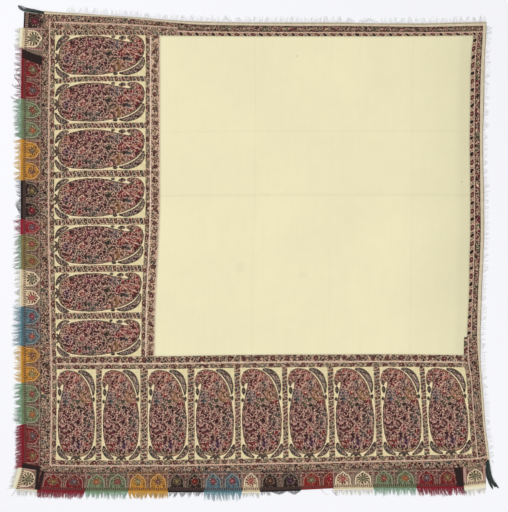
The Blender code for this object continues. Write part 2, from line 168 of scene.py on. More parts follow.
# Sharp storage creases and small puckers pressed into the cloth, with the same columns. A crease
# with a negative rise is a trough.
CREASES = rows(
    Fold,
    (480, 1034, 1560, 1028, 5, 0.5),
    (640, 1022, 1380, 1019, 4, -0.4),
    (500, 1258, 1500, 1254, 5, 0.35),
    (806, 520, 812, 1500, 5, 0.35),
    (1361, 1110, 1364, 1240, 5, 0.4),
    (1070, 1120, 1078, 1220, 4, 0.3),
    (1505, 1262, 1560, 1140, 7, 0.9),
    (1490, 1240, 1545, 1120, 8, -0.5),
    (590, 700, 760, 860, 16, 0.5),
    (1180, 560, 1420, 760, 20, 0.5),
    (900, 1340, 1060, 1540, 18, 0.45),
    (560, 1480, 700, 1350, 14, 0.35),
)

SRGB_KNEE = 0.04045


def dye(red, green, blue):
    """Linear colour of a dye given as it looks on a screen, 0 to 255."""
    channels = np.array([red, green, blue]) / 255.0
    linear = np.where(
        channels <= SRGB_KNEE, channels / 12.92, ((channels + 0.055) / 1.055) ** 2.4
    )
    return tuple(float(channel) for channel in linear)


DYES = {
    name: dye(*seen)
    for name, seen in {
        "cream": (235, 227, 190),
        "cream_light": (232, 227, 186),
        "hem_cream": (224, 209, 182),
        "hem_shade": (196, 180, 152),
        "bright_line": (232, 208, 184),
        "cream_ground": (222, 208, 164),
        "cream_edge": (238, 218, 188),
        "ivory": (214, 190, 155),
        "blush": (221, 187, 158),
        "pink": (188, 152, 138),
        "fawn": (158, 134, 108),
        "maroon": (94, 34, 42),
        "mulberry": (84, 44, 46),
        "madder": (132, 42, 40),
        "garnet": (124, 30, 36),
        "crimson": (146, 30, 50),
        "scarlet": (138, 34, 30),
        "magenta": (106, 40, 58),
        "plum": (74, 46, 72),
        "steel": (84, 96, 100),
        "slate": (70, 74, 70),
        "umber": (96, 62, 44),
        "rose": (212, 182, 158),
        "curl": (202, 156, 142),
        "flap": (216, 205, 166),
        "spruce": (58, 80, 72),
        "wine": (104, 42, 54),
        "russet": (92, 50, 46),
        "moss": (74, 78, 56),
        "leaf": (114, 127, 94),
        "olive": (130, 114, 72),
        "ochre": (144, 100, 62),
        "amber": (191, 132, 48),
        "orange": (176, 80, 38),
        "sky": (80, 110, 120),
        "bark": (44, 32, 30),
        "soot": (30, 26, 28),
        "pine": (34, 52, 46),
        "wool_red": (160, 34, 58),
        "wool_mint": (138, 196, 152),
        "wool_gold": (252, 204, 98),
        "wool_sky": (122, 180, 192),
        "wool_white": (246, 246, 240),
    }.items()
}


def smooth_column(stations, values, wanted):
    """Reads a table's column on a smooth curve that never overshoots its values."""
    stations = np.array(stations, float)
    values = np.array(values, float)
    steps = np.diff(stations)
    slopes = np.diff(values) / steps
    product = slopes[:-1] * slopes[1:]
    total = np.where(product > 0, slopes[:-1] + slopes[1:], 1.0)
    tangents = np.concatenate(
        ([slopes[0]], np.where(product > 0, 2 * product / total, 0.0), [slopes[-1]])
    )
    first = np.clip(np.searchsorted(stations, wanted) - 1, 0, len(steps) - 1)
    share = np.clip((wanted - stations[first]) / steps[first], 0, 1)
    square = share * share
    cube = square * share
    return (
        (2 * cube - 3 * square + 1) * values[first]
        + (cube - 2 * square + share) * steps[first] * tangents[first]
        + (3 * square - 2 * cube) * values[first + 1]
        + (cube - square) * steps[first] * tangents[first + 1]
    )


def table_columns(table, wanted):
    """Each column of a seam table after the first, read at the wanted places."""
    stations = [row[0] for row in table]
    return {
        column: smooth_column(stations, [getattr(row, column) for row in table], wanted)
        for column in table[0]._fields[1:]
    }


def between_lines(lines, pulls, places):
    """Pulls known along a few straight lines, read at places between them."""
    span = np.clip(np.searchsorted(lines, places) - 1, 0, len(lines) - 2)
    share = np.clip((places - lines[span]) / (lines[span + 1] - lines[span]), 0, 1)
    low = np.take_along_axis(pulls, span[None], axis=0)[0]
    high = np.take_along_axis(pulls, span[None] + 1, axis=0)[0]
    return low + (high - low) * share


def laid(along, up):
    """Where points of the straight plan lie on the surface, in millimetres."""
    along, up = (np.asarray(part, float).ravel() for part in np.broadcast_arrays(along, up))
    by_height = table_columns(SEAMS_UP, up)
    columns = [*by_height.values()]
    share = (STRAIGHT_LINE - BORDER_LEFT) / (FIELD_LEFT - BORDER_LEFT)
    with_seam = columns[1] + (columns[2] - columns[1]) * share
    straight = STRAIGHT_LINE + np.interp(up, LEFT_STATIONS, LEFT_STRAYS)
    straight = with_seam + (straight - with_seam) * np.interp(up, (BORDER_LOW, LOWER_LINE), (0, 1))
    pulls = np.array([*columns[:2], straight, *columns[2:]]) - UPRIGHT_LINES[:, None]
    by_distance = table_columns(SEAMS_ACROSS, along)
    hem_low, hem_top = by_distance.pop("hem_low"), by_distance.pop("hem_top")
    lifts = np.array([*by_distance.values(), np.zeros_like(along)])
    lifts[:-1] -= LEVEL_LINES[:-1, None]
    above_field = FIELD_TOP + (up - FIELD_TOP) * (hem_low - FIELD_TOP) / (HEM_LOW - FIELD_TOP)
    in_hem = hem_low + (up - HEM_LOW) * (hem_top - hem_low) / (HEM_TOP - HEM_LOW)
    level = np.where(up <= FIELD_TOP, up, np.where(up <= HEM_LOW, above_field, in_hem))
    x = along + between_lines(UPRIGHT_LINES, pulls, along)
    y = level + between_lines(LEVEL_LINES, lifts, up)
    near = np.interp(up, (BORDER_LOW, LOWER_LINE, FIELD_LOW), (0.0, 1.0, 0.0))
    return x, y + near * np.interp(along, LOWER_STATIONS, LOWER_STRAYS)


def crest(fold, x, y):
    """Height of one fold at places, dying away to its sides and ends."""
    run = np.array([fold.to_along - fold.from_along, fold.to_up - fold.from_up], float)
    length = float(np.hypot(*run))
    past_x, past_y = x - fold.from_along, y - fold.from_up
    share = (past_x * run[0] + past_y * run[1]) / length**2
    off = np.abs(past_x * run[1] - past_y * run[0]) / length
    inside = (share > 0) & (share < 1) & (off < fold.spread)
    ends = np.sin(np.pi * np.clip(share, 0, 1)) ** FOLD_END_POWER
    return np.where(inside, fold.rise * ends * np.cos(np.pi * off / fold.spread / 2) ** 2, 0.0)


# Gentle unevenness of cloth that lies flat: wavelengths across and up, turn and height.
Swell = namedtuple("Swell", "across up phase height")
SWELLS = rows(
    Swell,
    (231, 173, 0.4, 0.16),
    (-97, 141, 1.9, 0.12),
    (61, -83, 2.7, 0.07),
    (37, 53, 4.2, 0.035),
)


def relief(x, y):
    """Height of the cloth's underside above the surface at places, in millimetres."""
    folds = np.max([crest(fold, x, y) for fold in FOLDS], axis=0)
    creases = np.sum([crest(crease, x, y) for crease in CREASES], axis=0)
    swells = sum(
        swell.height * (1 + np.sin(2 * np.pi * (x / swell.across + y / swell.up) + swell.phase))
        for swell in SWELLS
    )
    return np.maximum(folds + creases + swells, 0.0)


def in_row(x, y, z):
    """Points of the plan's surface as places in the row frame, in metres."""
    return np.stack([x - MIDDLE_ALONG, y - MIDDLE_UP, z], axis=-1) * MM


def finely(stops, cell):
    """The stops with enough more between them that no gap is wider than a cell."""
    stops = sorted(set(stops))
    fine = [stops[0]]
    for start, end in zip(stops, stops[1:]):
        count = max(1, int(np.ceil((end - start) / cell)))
        fine += [start + (end - start) * step / count for step in range(1, count + 1)]
    return np.array(fine)


# One stretch of a piece in the plan, the weave that it wears, and how that weave's own
# directions lie on it: its run starts at one side and its breadth is measured from its middle.
Band = namedtuple("Band", "left right low high weave way")
LEVEL = "level"
UPRIGHT = "upright"


def band_places(band, along, up):
    """Distances along and across a band, in millimetres."""
    if band.way == LEVEL:
        return along - band.left, up - (band.low + band.high) / 2
    return up - band.low, (band.left + band.right) / 2 - along


def link(name, data):
    """Puts a new object with its data into the scene."""
    item = bpy.data.objects.new(name, data)
    bpy.context.scene.collection.objects.link(item)
    return item


class Cloth:
    """A piece of cloth woven in bands: a fine grid over the plan, thickened into a thin shell."""

    def __init__(self, left, right, low, high, cell, bands=(), shift=None):
        self.bands = list(bands)
        lines_along = [left, right, *(edge for band in bands for edge in (band.left, band.right))]
        lines_up = [low, high, *(edge for band in bands for edge in (band.low, band.high))]
        self.columns = finely([line for line in lines_along if left <= line <= right], cell)
        self.rows = finely([line for line in lines_up if low <= line <= high], cell)
        self.along, self.up = np.meshgrid(self.columns, self.rows)
        moved = shift(self.along, self.up) if shift else self.along
        self.x, self.y = laid(moved, self.up)
        self.size = self.along.size

    def band_of_cells(self):
        """The number of the band that each cell lies in; later bands lie over earlier ones."""
        along = (self.columns[:-1] + self.columns[1:]) / 2
        up = (self.rows[:-1] + self.rows[1:]) / 2
        along, up = np.meshgrid(along, up)
        found = np.zeros(along.size, int)
        for number, band in enumerate(self.bands):
            inside = (along > band.left) & (along < band.right) & (up > band.low) & (up < band.high)
            found[inside.ravel()] = number
        return found

    def shell(self, thickness):
        """Points of the underside and upper side; faces of the upper side, underside and rim."""
        under = relief(self.x, self.y)
        points = [in_row(self.x, self.y, under + rise) for rise in (0.0, thickness)]
        index = np.arange(self.size).reshape(self.along.shape)
        corners = [index[:-1, :-1], index[:-1, 1:], index[1:, 1:], index[1:, :-1]]
        cells = np.stack(corners, axis=-1).reshape(-1, 4)
        rim = np.array([*index[0, :-1], *index[:-1, -1], *index[-1, :0:-1], *index[:0:-1, 0]])
        after = np.roll(rim, -1)
        sides = np.stack([rim, after, after + self.size, rim + self.size], axis=-1)
        return np.concatenate(points), np.concatenate([cells + self.size, cells[:, ::-1], sides])

    def build(self, name, thickness, materials, charts=None):
        """Makes the object, with its weaves and their coordinates.

        charts maps the name of an attribute to its values at the grid's points.
        """
        points, faces = self.shell(thickness)
        numbers = self.band_of_cells()
        side_count = len(faces) - 2 * len(numbers)
        weaves = [band.weave for band in self.bands]
        slots = list(dict.fromkeys(weaves))
        slot_of_band = np.array([slots.index(weave) for weave in weaves])
        side_slots = np.full(side_count, slot_of_band[numbers[0]])
        face_slots = np.concatenate([np.tile(slot_of_band[numbers], 2), side_slots])
        mesh = bpy.data.meshes.new(name)
        mesh.from_pydata(points.tolist(), [], faces.tolist())
        for slot in slots:
            mesh.materials.append(materials[slot])
        mesh.polygons.foreach_set("material_index", face_slots)
        mesh.polygons.foreach_set("use_smooth", np.arange(len(faces)) < 2 * len(numbers))
        self.lay_weave(mesh, faces, numbers, side_count)
        for label, values in (charts or {}).items():
            layer = mesh.attributes.new(label, "FLOAT_VECTOR", "POINT")
            layer.data.foreach_set("vector", np.tile(values, (2, 1)).ravel())
        mesh.validate()
        return link(name, mesh)

    def lay_weave(self, mesh, faces, numbers, side_count):
        """Writes each corner's distances along and across its band, in metres."""
        along = np.tile(self.along.ravel(), 2)[faces]
        up = np.tile(self.up.ravel(), 2)[faces]
        numbers = np.concatenate([numbers, numbers, np.zeros(side_count, int)])
        run, breadth = np.zeros(faces.shape), np.zeros(faces.shape)
        for number, band in enumerate(self.bands):
            here = numbers == number
            run[here], breadth[here] = band_places(band, along[here], up[here])
        layer = mesh.uv_layers.new(name="Weave")
        layer.data.foreach_set("uv", (np.stack([run, breadth], axis=-1) * MM).ravel())


# How soft the edges of drawn shapes are, in millimetres, and of the steps between random tones.
SOFT = 0.5
SHARP = 0.02


def math_node(operation):
    """A thread's method that adds one Math node."""
    return lambda self, *others: self.math(operation, *others)


class Thread:
    """One value in a material's nodes. Arithmetic on it adds Math nodes."""

    def __init__(self, loom, socket):
        self.loom = loom
        self.socket = socket

    def math(self, operation, *others):
        return self.loom.add("ShaderNodeMath", {"operation": operation}, [self, *others])

    __add__ = __radd__ = math_node("ADD")
    __mul__ = __rmul__ = math_node("MULTIPLY")
    __sub__ = math_node("SUBTRACT")
    __abs__ = math_node("ABSOLUTE")
    least = math_node("MINIMUM")
    most = math_node("MAXIMUM")
    angle = math_node("ARCTAN2")
    floor = math_node("FLOOR")
    part = math_node("FRACT")
    sine = math_node("SINE")
    cosine = math_node("COSINE")

    def __rsub__(self, other):
        return self.loom.add("ShaderNodeMath", {"operation": "SUBTRACT"}, [other, self])

    def __neg__(self):
        return self * -1.0

    def below(self, level, soft=SOFT):
        """1 where the value is under the level, 0 above it, with a soft edge."""
        ends = {"From Min": level, "From Max": level + soft, "To Min": 1.0, "To Max": 0.0}
        settings = {"interpolation_type": "SMOOTHSTEP"}
        return self.loom.add("ShaderNodeMapRange", settings, {"Value": self, **ends})

    def line(self, middle, half_width, soft=0.4):
        """1 within a half width of a middle value, 0 beyond it."""
        return abs(self - middle).below(half_width, soft)

    def above(self, level, soft=SOFT):
        """1 where the value is over the level, 0 under it, with a soft edge."""
        return 1.0 - self.below(level - soft, soft)

    def over(self, level):
        """1 where a random tone is over the level, 0 under it."""
        return self.above(level, SHARP)

    def under(self, level):
        """1 where a random tone is under the level, 0 over it."""
        return self.below(level, SHARP)

    def hypot(self, other):
        return (self * self + other * other).math("SQRT")


# Where a Mix node keeps its share, its two colours and its mixed colour.
MIX_SHARE = 0
MIX_FIRST = 6
MIX_SECOND = 7
MIX_RESULT = 2

# The height and depth of threads that are too fine to show.
PLAIN = {"height": 0.5, "depth": 0.0001}


class Loom:
    """Draws one material's nodes."""

    def __init__(self, name):
        self.material = bpy.data.materials.new(name)
        self.material.use_nodes = True
        self.tree = self.material.node_tree
        self.tree.nodes.clear()

    def add(self, kind, settings=None, sockets=(), output=0):
        """One node: its settings first, then the values or links of its sockets."""
        node = self.tree.nodes.new(kind)
        for name, value in (settings or {}).items():
            setattr(node, name, value)
        pairs = sockets.items() if isinstance(sockets, dict) else enumerate(sockets)
        for name, value in pairs:
            socket = node.inputs[name]
            if isinstance(value, Thread):
                self.tree.links.new(value.socket, socket)
            else:
                socket.default_value = value
        return Thread(self, node.outputs[output]) if node.outputs else None

    def split(self, vector):
        node = self.add("ShaderNodeSeparateXYZ", None, [vector]).socket.node
        return [Thread(self, socket) for socket in node.outputs]

    def join(self, x, y, z=0.0):
        return self.add("ShaderNodeCombineXYZ", None, [x, y, z])

    def mix(self, share, first, second):
        """Blends two colours, each a thread or the name of a dye."""
        first, second = (
            (*DYES[colour], 1.0) if isinstance(colour, str) else colour
            for colour in (first, second)
        )
        sockets = {MIX_SHARE: share, MIX_FIRST: first, MIX_SECOND: second}
        return self.add("ShaderNodeMix", {"data_type": "RGBA"}, sockets, output=MIX_RESULT)

    def shaded(self, colour, shade):
        return self.add("ShaderNodeVectorMath", {"operation": "SCALE"}, {0: colour, "Scale": shade})

    def coats(self, colour, *layers):
        """Lays more colours over one in turn, each with its share."""
        for share, layer in layers:
            colour = self.mix(share, colour, layer)
        return colour

    def attribute(self, name):
        return self.add("ShaderNodeAttribute", {"attribute_name": name}, output=1)

    def random(self, number):
        """A random value from 0 to 1 for each whole number."""
        return self.add("ShaderNodeTexWhiteNoise", {"noise_dimensions": "1D"}, {"W": number})

    def cells(self, x, y, pitch, jitter=1.0):
        """Scattered cells: how far off the nearest middle, two random tones, and how far to the
        cell's edge, in millimetres."""
        place = self.join(x * (1 / pitch), y * (1 / pitch))
        settings = {"voronoi_dimensions": "2D", "feature": "F1"}
        sockets = {"Vector": place, "Scale": 1.0, "Randomness": jitter}
        node = self.add("ShaderNodeTexVoronoi", settings, sockets).socket.node
        middle_x, middle_y, _ = self.split(Thread(self, node.outputs["Position"]))
        tone, other_tone, _ = self.split(Thread(self, node.outputs["Color"]))
        settings = {"voronoi_dimensions": "2D", "feature": "DISTANCE_TO_EDGE"}
        edge = self.add("ShaderNodeTexVoronoi", settings, sockets)
        return x - middle_x * pitch, y - middle_y * pitch, tone, other_tone, edge * pitch

    def stripes(self, run, pitch, share):
        """Dashes along a run: 1 over a share of each pitch, 0 between."""
        return (run * (1 / pitch)).part().below(share, 0.1)

    def pick(self, tone, colours):
        """One of several dyes, by a random tone from 0 to 1."""
        colour = colours[0]
        for number, other in enumerate(colours[1:], 1):
            colour = self.mix(tone.over(number / len(colours)), colour, other)
        return colour

    def noise(self, place, scale, detail=2.0):
        sockets = {"Vector": place, "Scale": scale, "Detail": detail}
        return self.add("ShaderNodeTexNoise", {"noise_dimensions": "3D"}, sockets)

    def every_second(self, number):
        """1 for every second whole number, 0 for the others."""
        return ((number * 0.5).part() * 2.0).above(0.5, 0.1)

    def finish(self, colour, roughness, height, depth):
        """Cloth: its colour, roughness, and the height of its threads in metres."""
        bump = {"Strength": 1.0, "Distance": depth, "Height": height}
        sockets = {
            "Base Color": (*colour, 1.0) if isinstance(colour, tuple) else colour,
            "Roughness": roughness,
            "Normal": self.add("ShaderNodeBump", None, bump),
            "Sheen Weight": 0.1,
            "Sheen Roughness": 0.45,
            "Specular IOR Level": 0.12,
        }
        shader = self.add("ShaderNodeBsdfPrincipled", None, sockets)
        self.add("ShaderNodeOutputMaterial", None, {"Surface": shader})
        return self.material


def twill(run, breadth, pitch):
    """Fine diagonal ribs."""
    return ((run + breadth) * (2 * np.pi / pitch)).sine() * 0.5 + 0.5


PETALS = 5.0
FULL_TURN = 6.3
ROUGHNESS = 0.9

# The ribs of patterned cloth: how far apart in millimetres, and how deep in metres.
RIB_PITCH = 1.4
RIB_DEPTH = 0.00015


class Weave(Loom):
    """A loom for cloth, with the distances along and across its band in millimetres."""

    def __init__(self, name):
        super().__init__(name)
        layer = self.add("ShaderNodeUVMap", {"uv_map": "Weave"})
        self.run, self.breadth = (part * (1 / MM) for part in self.split(layer)[:2])
        self.place = self.join(self.run * MM, self.breadth * MM)

    def drift(self, scale, amount):
        """Soft moves to and fro, in millimetres, that make drawn lines curl."""
        sockets = {"Vector": self.place, "Scale": scale, "Detail": 1.0}
        moves = self.add("ShaderNodeTexNoise", {"noise_dimensions": "2D"}, sockets, output=1)
        move_x, move_y, _ = self.split(moves)
        return (move_x - 0.5) * amount, (move_y - 0.5) * amount

    def flowers(self, pitch, scale, amount, wave, jitter=1.0):
        """Scattered flowers: how far off each one's middle places lie, plainly and in waves round
        it, its two random tones, and how far it is to the net between."""
        move_x, move_y = self.drift(scale, amount)
        x, y = self.run + move_x, self.breadth + move_y
        off_x, off_y, tone, other, edge = self.cells(x, y, pitch, jitter)
        away = off_x.hypot(off_y)
        return away, away + petals(off_x, off_y, other * FULL_TURN) * wave, tone, other, edge

    def motifs(self, pitch, scale, amount, slant=0.0):
        """A curling row of motifs: each one's number and how far off its middle places lie."""
        move_x, move_y = self.drift(scale, amount)
        level = self.breadth + move_y
        moved = self.run + move_x + level * slant
        number = (moved * (1 / pitch)).floor()
        return number, moved - (number + 0.5) * pitch, level

    def finish_cloth(self, colour):
        """Gives the cloth its ribs, with painted shade in their grooves, and the slight unevenness
        of its dyes.
        """
        patch = self.noise(self.place, 60.0, 3.0)
        ribs = twill(self.run, self.breadth, RIB_PITCH)
        # The ribs darken the colour as well as the bump: painted shade in their grooves.
        shade = (patch - 0.5) * 0.35 + (ribs - 0.5) * 0.12 + 1.0
        return self.finish(self.shaded(colour, shade), ROUGHNESS, ribs, RIB_DEPTH)


def petals(off_x, off_y, turn):
    """Waves round a flower's middle, from -1 to 1."""
    return (off_y.angle(off_x) * PETALS + turn).cosine()


def mosaic(loom, pitch, colours, net="blush", net_half=1.0, net_share=0.8, jitter=1.0):
    """Small flowers packed edge to edge on a curling, broken pale net."""
    away, ring, tone, other, edge = loom.flowers(
        pitch, 700.0 / pitch, pitch * 1.5, pitch * 0.06, jitter
    )
    broken = loom.noise(loom.place, 800.0 / pitch, 1.0).above(0.46, 0.07)
    return loom.coats(
        loom.pick(tone, colours),
        (ring.line(pitch * 0.27, 0.5, 0.4) * 0.6, "bark"),
        (away.below(pitch * 0.14) * other.over(0.5), "blush"),
        (edge.below(net_half) * (broken * 0.85 + 0.15) * net_share, net),
    )


def weave_paisley():
    """Cream compartments, each with a flowered paisley, its leaves and its insets."""
    loom = Weave("paisley")
    body, leaf, inset = loom.split(loom.attribute("Paisley"))
    away, ring, tone, other, edge = loom.flowers(10.5, 60.0, 12.0, 0.9)
    broken = loom.noise(loom.place, 75.0, 1.0).above(0.48, 0.06)
    speck_x, speck_y, speck_tone, _, _ = loom.cells(loom.run, loom.breadth, 5.8)
    speck = speck_x.hypot(speck_y).below(1.2)
    bloom = loom.coats(
        loom.attribute("Zone"),
        (tone.under(0.35) * 0.72, "bark"),
        (tone.over(0.86) * 0.4, "maroon"),
        (tone.line(0.5, 0.06, 0.01) * 0.4, "moss"),
        (ring.line(3.4, 0.7) * 0.75, "bark"),
        (away.below(1.5, 0.6) * other.over(0.5), "blush"),
        (edge.below(0.72) * (broken * 0.82 + 0.03), "curl"),
        (speck * speck_tone.over(0.8) * 0.7, "blush"),
        (speck * speck_tone.under(0.3) * 0.8, "bark"),
        (abs(inset).below(0.7) * 0.55, "rose"),
    )
    rim_dyes = ("moss", "bark", "bark", "ochre")
    rim = mosaic(loom, 6.5, rim_dyes, "fawn", net_half=0.5, jitter=0.8)
    wobble = (loom.noise(loom.place, 220.0, 1.0) - 0.5) * 4.0
    leaf_dyes = ("moss", "slate", "bark", "bark")
    leaves = mosaic(loom, 8.5, leaf_dyes, "pink", net_half=0.7, jitter=0.85)
    colour = loom.coats(
        "cream_ground",
        (body.line(-2.6, 0.8, 0.6), "cream_edge"),
        (
            (leaf + wobble).above(-1.6, 0.6),
            loom.mix((leaf + wobble).below(1.2, 0.6) * 0.7, leaves, "bark"),
        ),
        ((body + wobble).above(-1.1, 0.6), loom.mix(body.below(3.4, 0.8), bloom, rim)),
    )
    return loom.finish_cloth(colour)


def weave_strip(name, pitch, radius, kinds, ground, ground_pitch=9.0, squash=1.0, net_half=1.0):
    """A strip of flowers, round and crossed ones by turns, on a close ground of smaller ones."""
    loom = Weave(name)
    number, local, level = loom.motifs(pitch, 60.0, 8.0)
    chance = loom.random(number)
    away = (local * squash).hypot(level)
    edge = away + petals(local, level, chance * 6.0) * 1.1 - chance * 1.2
    arms = abs(abs(local * squash) - abs(level))
    round_flower = loom.mix(chance.above(0.5, 0.05) * 0.5, kinds[0], "maroon")
    star = loom.mix(arms.below(1.3) * away.above(2.0) * 0.7, kinds[1], "blush")
    colour = loom.coats(
        mosaic(loom, ground_pitch, ground, net_half=net_half),
        (edge.below(radius + 0.8) * 0.4, "bark"),
        (edge.below(radius) * 0.82, loom.mix(loom.every_second(number), round_flower, star)),
        (edge.line(radius * 0.55, 0.6, 0.5) * 0.5, "bark"),
        (away.below(1.3) * chance.above(0.4, 0.1) * 0.8, "blush"),
    )
    return loom.finish_cloth(colour)


GUARD_PITCH = 12.3
LOZENGE_PITCH = 28.4


def weave_guard():
    """Slanted ovals in mixed dark dyes, parted here and there by pale slanted lines."""
    loom = Weave("guard")
    number, local, level = loom.motifs(GUARD_PITCH, 55.0, 11.0, 0.35)
    chance = loom.random(number)
    slants = abs(local).above(GUARD_PITCH / 2 - 1.3) * abs(level).below(8.5, 1.0)
    away = (local * 1.25).hypot(level * 0.8) - chance * 1.4
    ovals = loom.pick(chance, ("maroon", "slate", "umber", "moss", "maroon", "slate"))
    colour = loom.coats(
        mosaic(loom, 7.0, ("bark", "mulberry", "moss", "bark"), net_half=0.7),
        (slants * ((number * 0.37).part() * 0.7 + 0.15), "blush"),
        (away.below(5.0), "bark"),
        (away.below(3.8), ovals),
        (away.below(0.6) * 0.8, "blush"),
    )
    return loom.finish_cloth(colour)


def weave_mosaic(name, pitch, colours, net_half, net_share, dark_from=None):
    """A band of small flowers, darker along its sides from a distance off its middle."""
    loom = Weave(name)
    colour = mosaic(loom, pitch, colours, "blush", net_half, net_share)
    if dark_from:
        colour = loom.mix(abs(loom.breadth).above(dark_from, 1.0) * 0.4, colour, "bark")
    return loom.finish_cloth(colour)


def weave_line(name, colour):
    """A narrow pale line, worn in places."""
    loom = Weave(name)
    worn = loom.noise(loom.place, 45.0, 3.0)
    shade = loom.mix(worn.above(0.5, 0.1) * 0.45, colour, "pink")
    return loom.finish_cloth(shade)


def weave_meander():
    """Black and red lozenges by turns, in pale outlines, on a ground of small flowers."""
    loom = Weave("meander")
    number, local, level = loom.motifs(LOZENGE_PITCH, 50.0, 8.0, 0.3)
    red = loom.every_second(number)
    lozenge = abs(local) * (0.95 - red * 0.3) + abs(level) * 0.35
    between = mosaic(loom, 6.0, ("bark", "umber", "moss"), net_half=0.55)
    colour = loom.coats(
        "bark",
        (red, "russet"),
        (lozenge.above(7.0, 0.6), between),
        (lozenge.line(8.2, 0.7, 0.5) * 0.6, "blush"),
        (lozenge.below(1.2, 0.4) * red * 0.7, "pink"),
    )
    return loom.finish_cloth(colour)


def weave_hem(line_at):
    """A pale strip with one dark thread line near its outer edge."""
    loom = Weave("pale_hem")
    worn = loom.noise(loom.place, 50.0, 3.0)
    dark = loom.breadth.line(line_at, 0.6, 0.5) * (worn.above(0.42, 0.15) * 0.4 + 0.2)
    colour = loom.coats("hem_cream", (worn, "hem_shade"), (dark, "pine"))
    return loom.finish_cloth(colour)


# The field's faint stains: where each lies along the field and up from its middle, its size and
# its depth. Painted shade along its creases: the line each lies on, its width and its depth.
FIELD_STAINS = (
    (292, -253, 20, 0.05), (516, -278, 16, 0.035), (488, 488, 3, 0.3), (1065, 48, 3, 0.25),
)
FIELD_RIB_PITCH = 1.6
FIELD_DEPTH = 0.0002
FIELD_CREASE_SHADE_LEVELS = ((0.5, 1.4, 0.05), (6.0, 1.2, 0.035), (226.0, 1.6, 0.03))
FIELD_CREASE_SHADE_UPRIGHTS = ((342.0, 1.5, 0.03), (612.0, 1.2, 0.015), (895.0, 1.3, 0.03))


def weave_field():
    """Cream twill with streaks and a few faint stains, with painted shade along soft creases,
    towards its right side and in the grooves of its ribs.
    """
    loom = Weave("cream_twill")
    run, breadth, place = loom.run, loom.breadth, loom.place
    patch = loom.noise(place, 3.5, 3.0)
    streak = loom.noise(loom.join(run * 0.02, breadth * 0.0008), 6.0)
    mottle = loom.noise(place, 28.0)
    shade = (patch - 0.5) * 0.12 + (streak - 0.5) * 0.035 + (mottle - 0.5) * 0.03
    # Painted shade darkening the field towards its right side, where the light falls off.
    shade = shade - (run - 860.0).most(0.0).least(220.0) * 0.0004
    shade = shade - run.above(1068.0, 30.0) * 0.05
    for across, up, size, depth in FIELD_STAINS:
        spot = (run - float(across)).hypot(breadth - float(up)).below(size * 0.5, size * 0.8)
        shade = shade - spot * depth
    # Painted shade along the creases, in darker lines that come and go.
    uneven = loom.noise(place, 9.0).above(0.35, 0.3)
    for way, creases in (
        (breadth + streak * 3.0, FIELD_CREASE_SHADE_LEVELS), (run + mottle * 4.0, FIELD_CREASE_SHADE_UPRIGHTS)
    ):
        for level, wide, depth in creases:
            shade = shade - way.line(level, wide, 2.0) * uneven * depth
    ribs = twill(run, breadth, FIELD_RIB_PITCH)
    # Painted shade in the grooves of the ribs: the colour is darker where the ribs are low.
    shade = shade + (ribs - 0.5) * 0.03 + 1.0
    tinted = loom.mix(patch.above(0.5, 0.3) * 0.35, "cream", "cream_light")
    height = ribs * 0.4 + loom.noise(place, 400.0) * 0.6
    return loom.finish(loom.shaded(tinted, shade), ROUGHNESS, height, FIELD_DEPTH)


def length(name, description, default):
    return FloatProperty(name=name, description=description, default=default, unit="LENGTH")


class ShawlSizes(bpy.types.PropertyGroup):
    """How thick the cloths are."""

    field_thickness: length("Field cloth", "Thickness of the plain field", 0.0012)
    border_thickness: length("Border cloth", "Thickness of the borders", 0.0014)
    panel_thickness: length("Panel cloth", "Thickness of the gate panels", 0.0015)
    hem_thickness: length("Hem cloth", "Thickness of the fringed hems", 0.0016)


class StageProperties(bpy.types.PropertyGroup):
    """Floor and camera."""

    floor_colour: FloatVectorProperty(
        name="Floor", description="Colour of the floor",
        default=(0.905, 0.907, 0.94), subtype="COLOR",
    )
    camera_height: length("Camera height", "Height of the camera", 5.0)


# The photo's frame: its size, how much cloth one picture dot covers, and the dot at the plan's
# corner.
PHOTO_WIDE = 508
PHOTO_HIGH = 512
DOT = 3.5
CORNER_DOT_ACROSS = 21.5
CORNER_DOT_DOWN = 490.0
SENSOR = 36.0


def add_camera(height):
    data = bpy.data.cameras.new("overhead")
    data.sensor_width = SENSOR
    data.lens = SENSOR * height / (PHOTO_HIGH * DOT * MM)
    camera = link("overhead", data)
    x = (PHOTO_WIDE / 2 - CORNER_DOT_ACROSS) * DOT - MIDDLE_ALONG
    y = (CORNER_DOT_DOWN - PHOTO_HIGH / 2) * DOT - MIDDLE_UP
    camera.location = (x * MM, y * MM, height)
    bpy.context.scene.camera = camera


# Soft lights: where each hangs, in metres, and its power in watts.
LIGHTS = {"window": ((-2.8, 1.6, 5.0), 128.0), "fill": ((2.8, -2.4, 5.0), 108.0)}
LIGHT_SIZE = 3.0
SKY_STRENGTH = 0.54
FLOOR_HALF = 6.0


def add_light(name, place, power):
    data = bpy.data.lights.new(name, "AREA")
    data.shape = "SQUARE"
    data.size = LIGHT_SIZE
    data.energy = power
    light = link(name, data)
    light.location = place
    light.rotation_euler = (-Vector(place)).to_track_quat("-Z", "Y").to_euler()


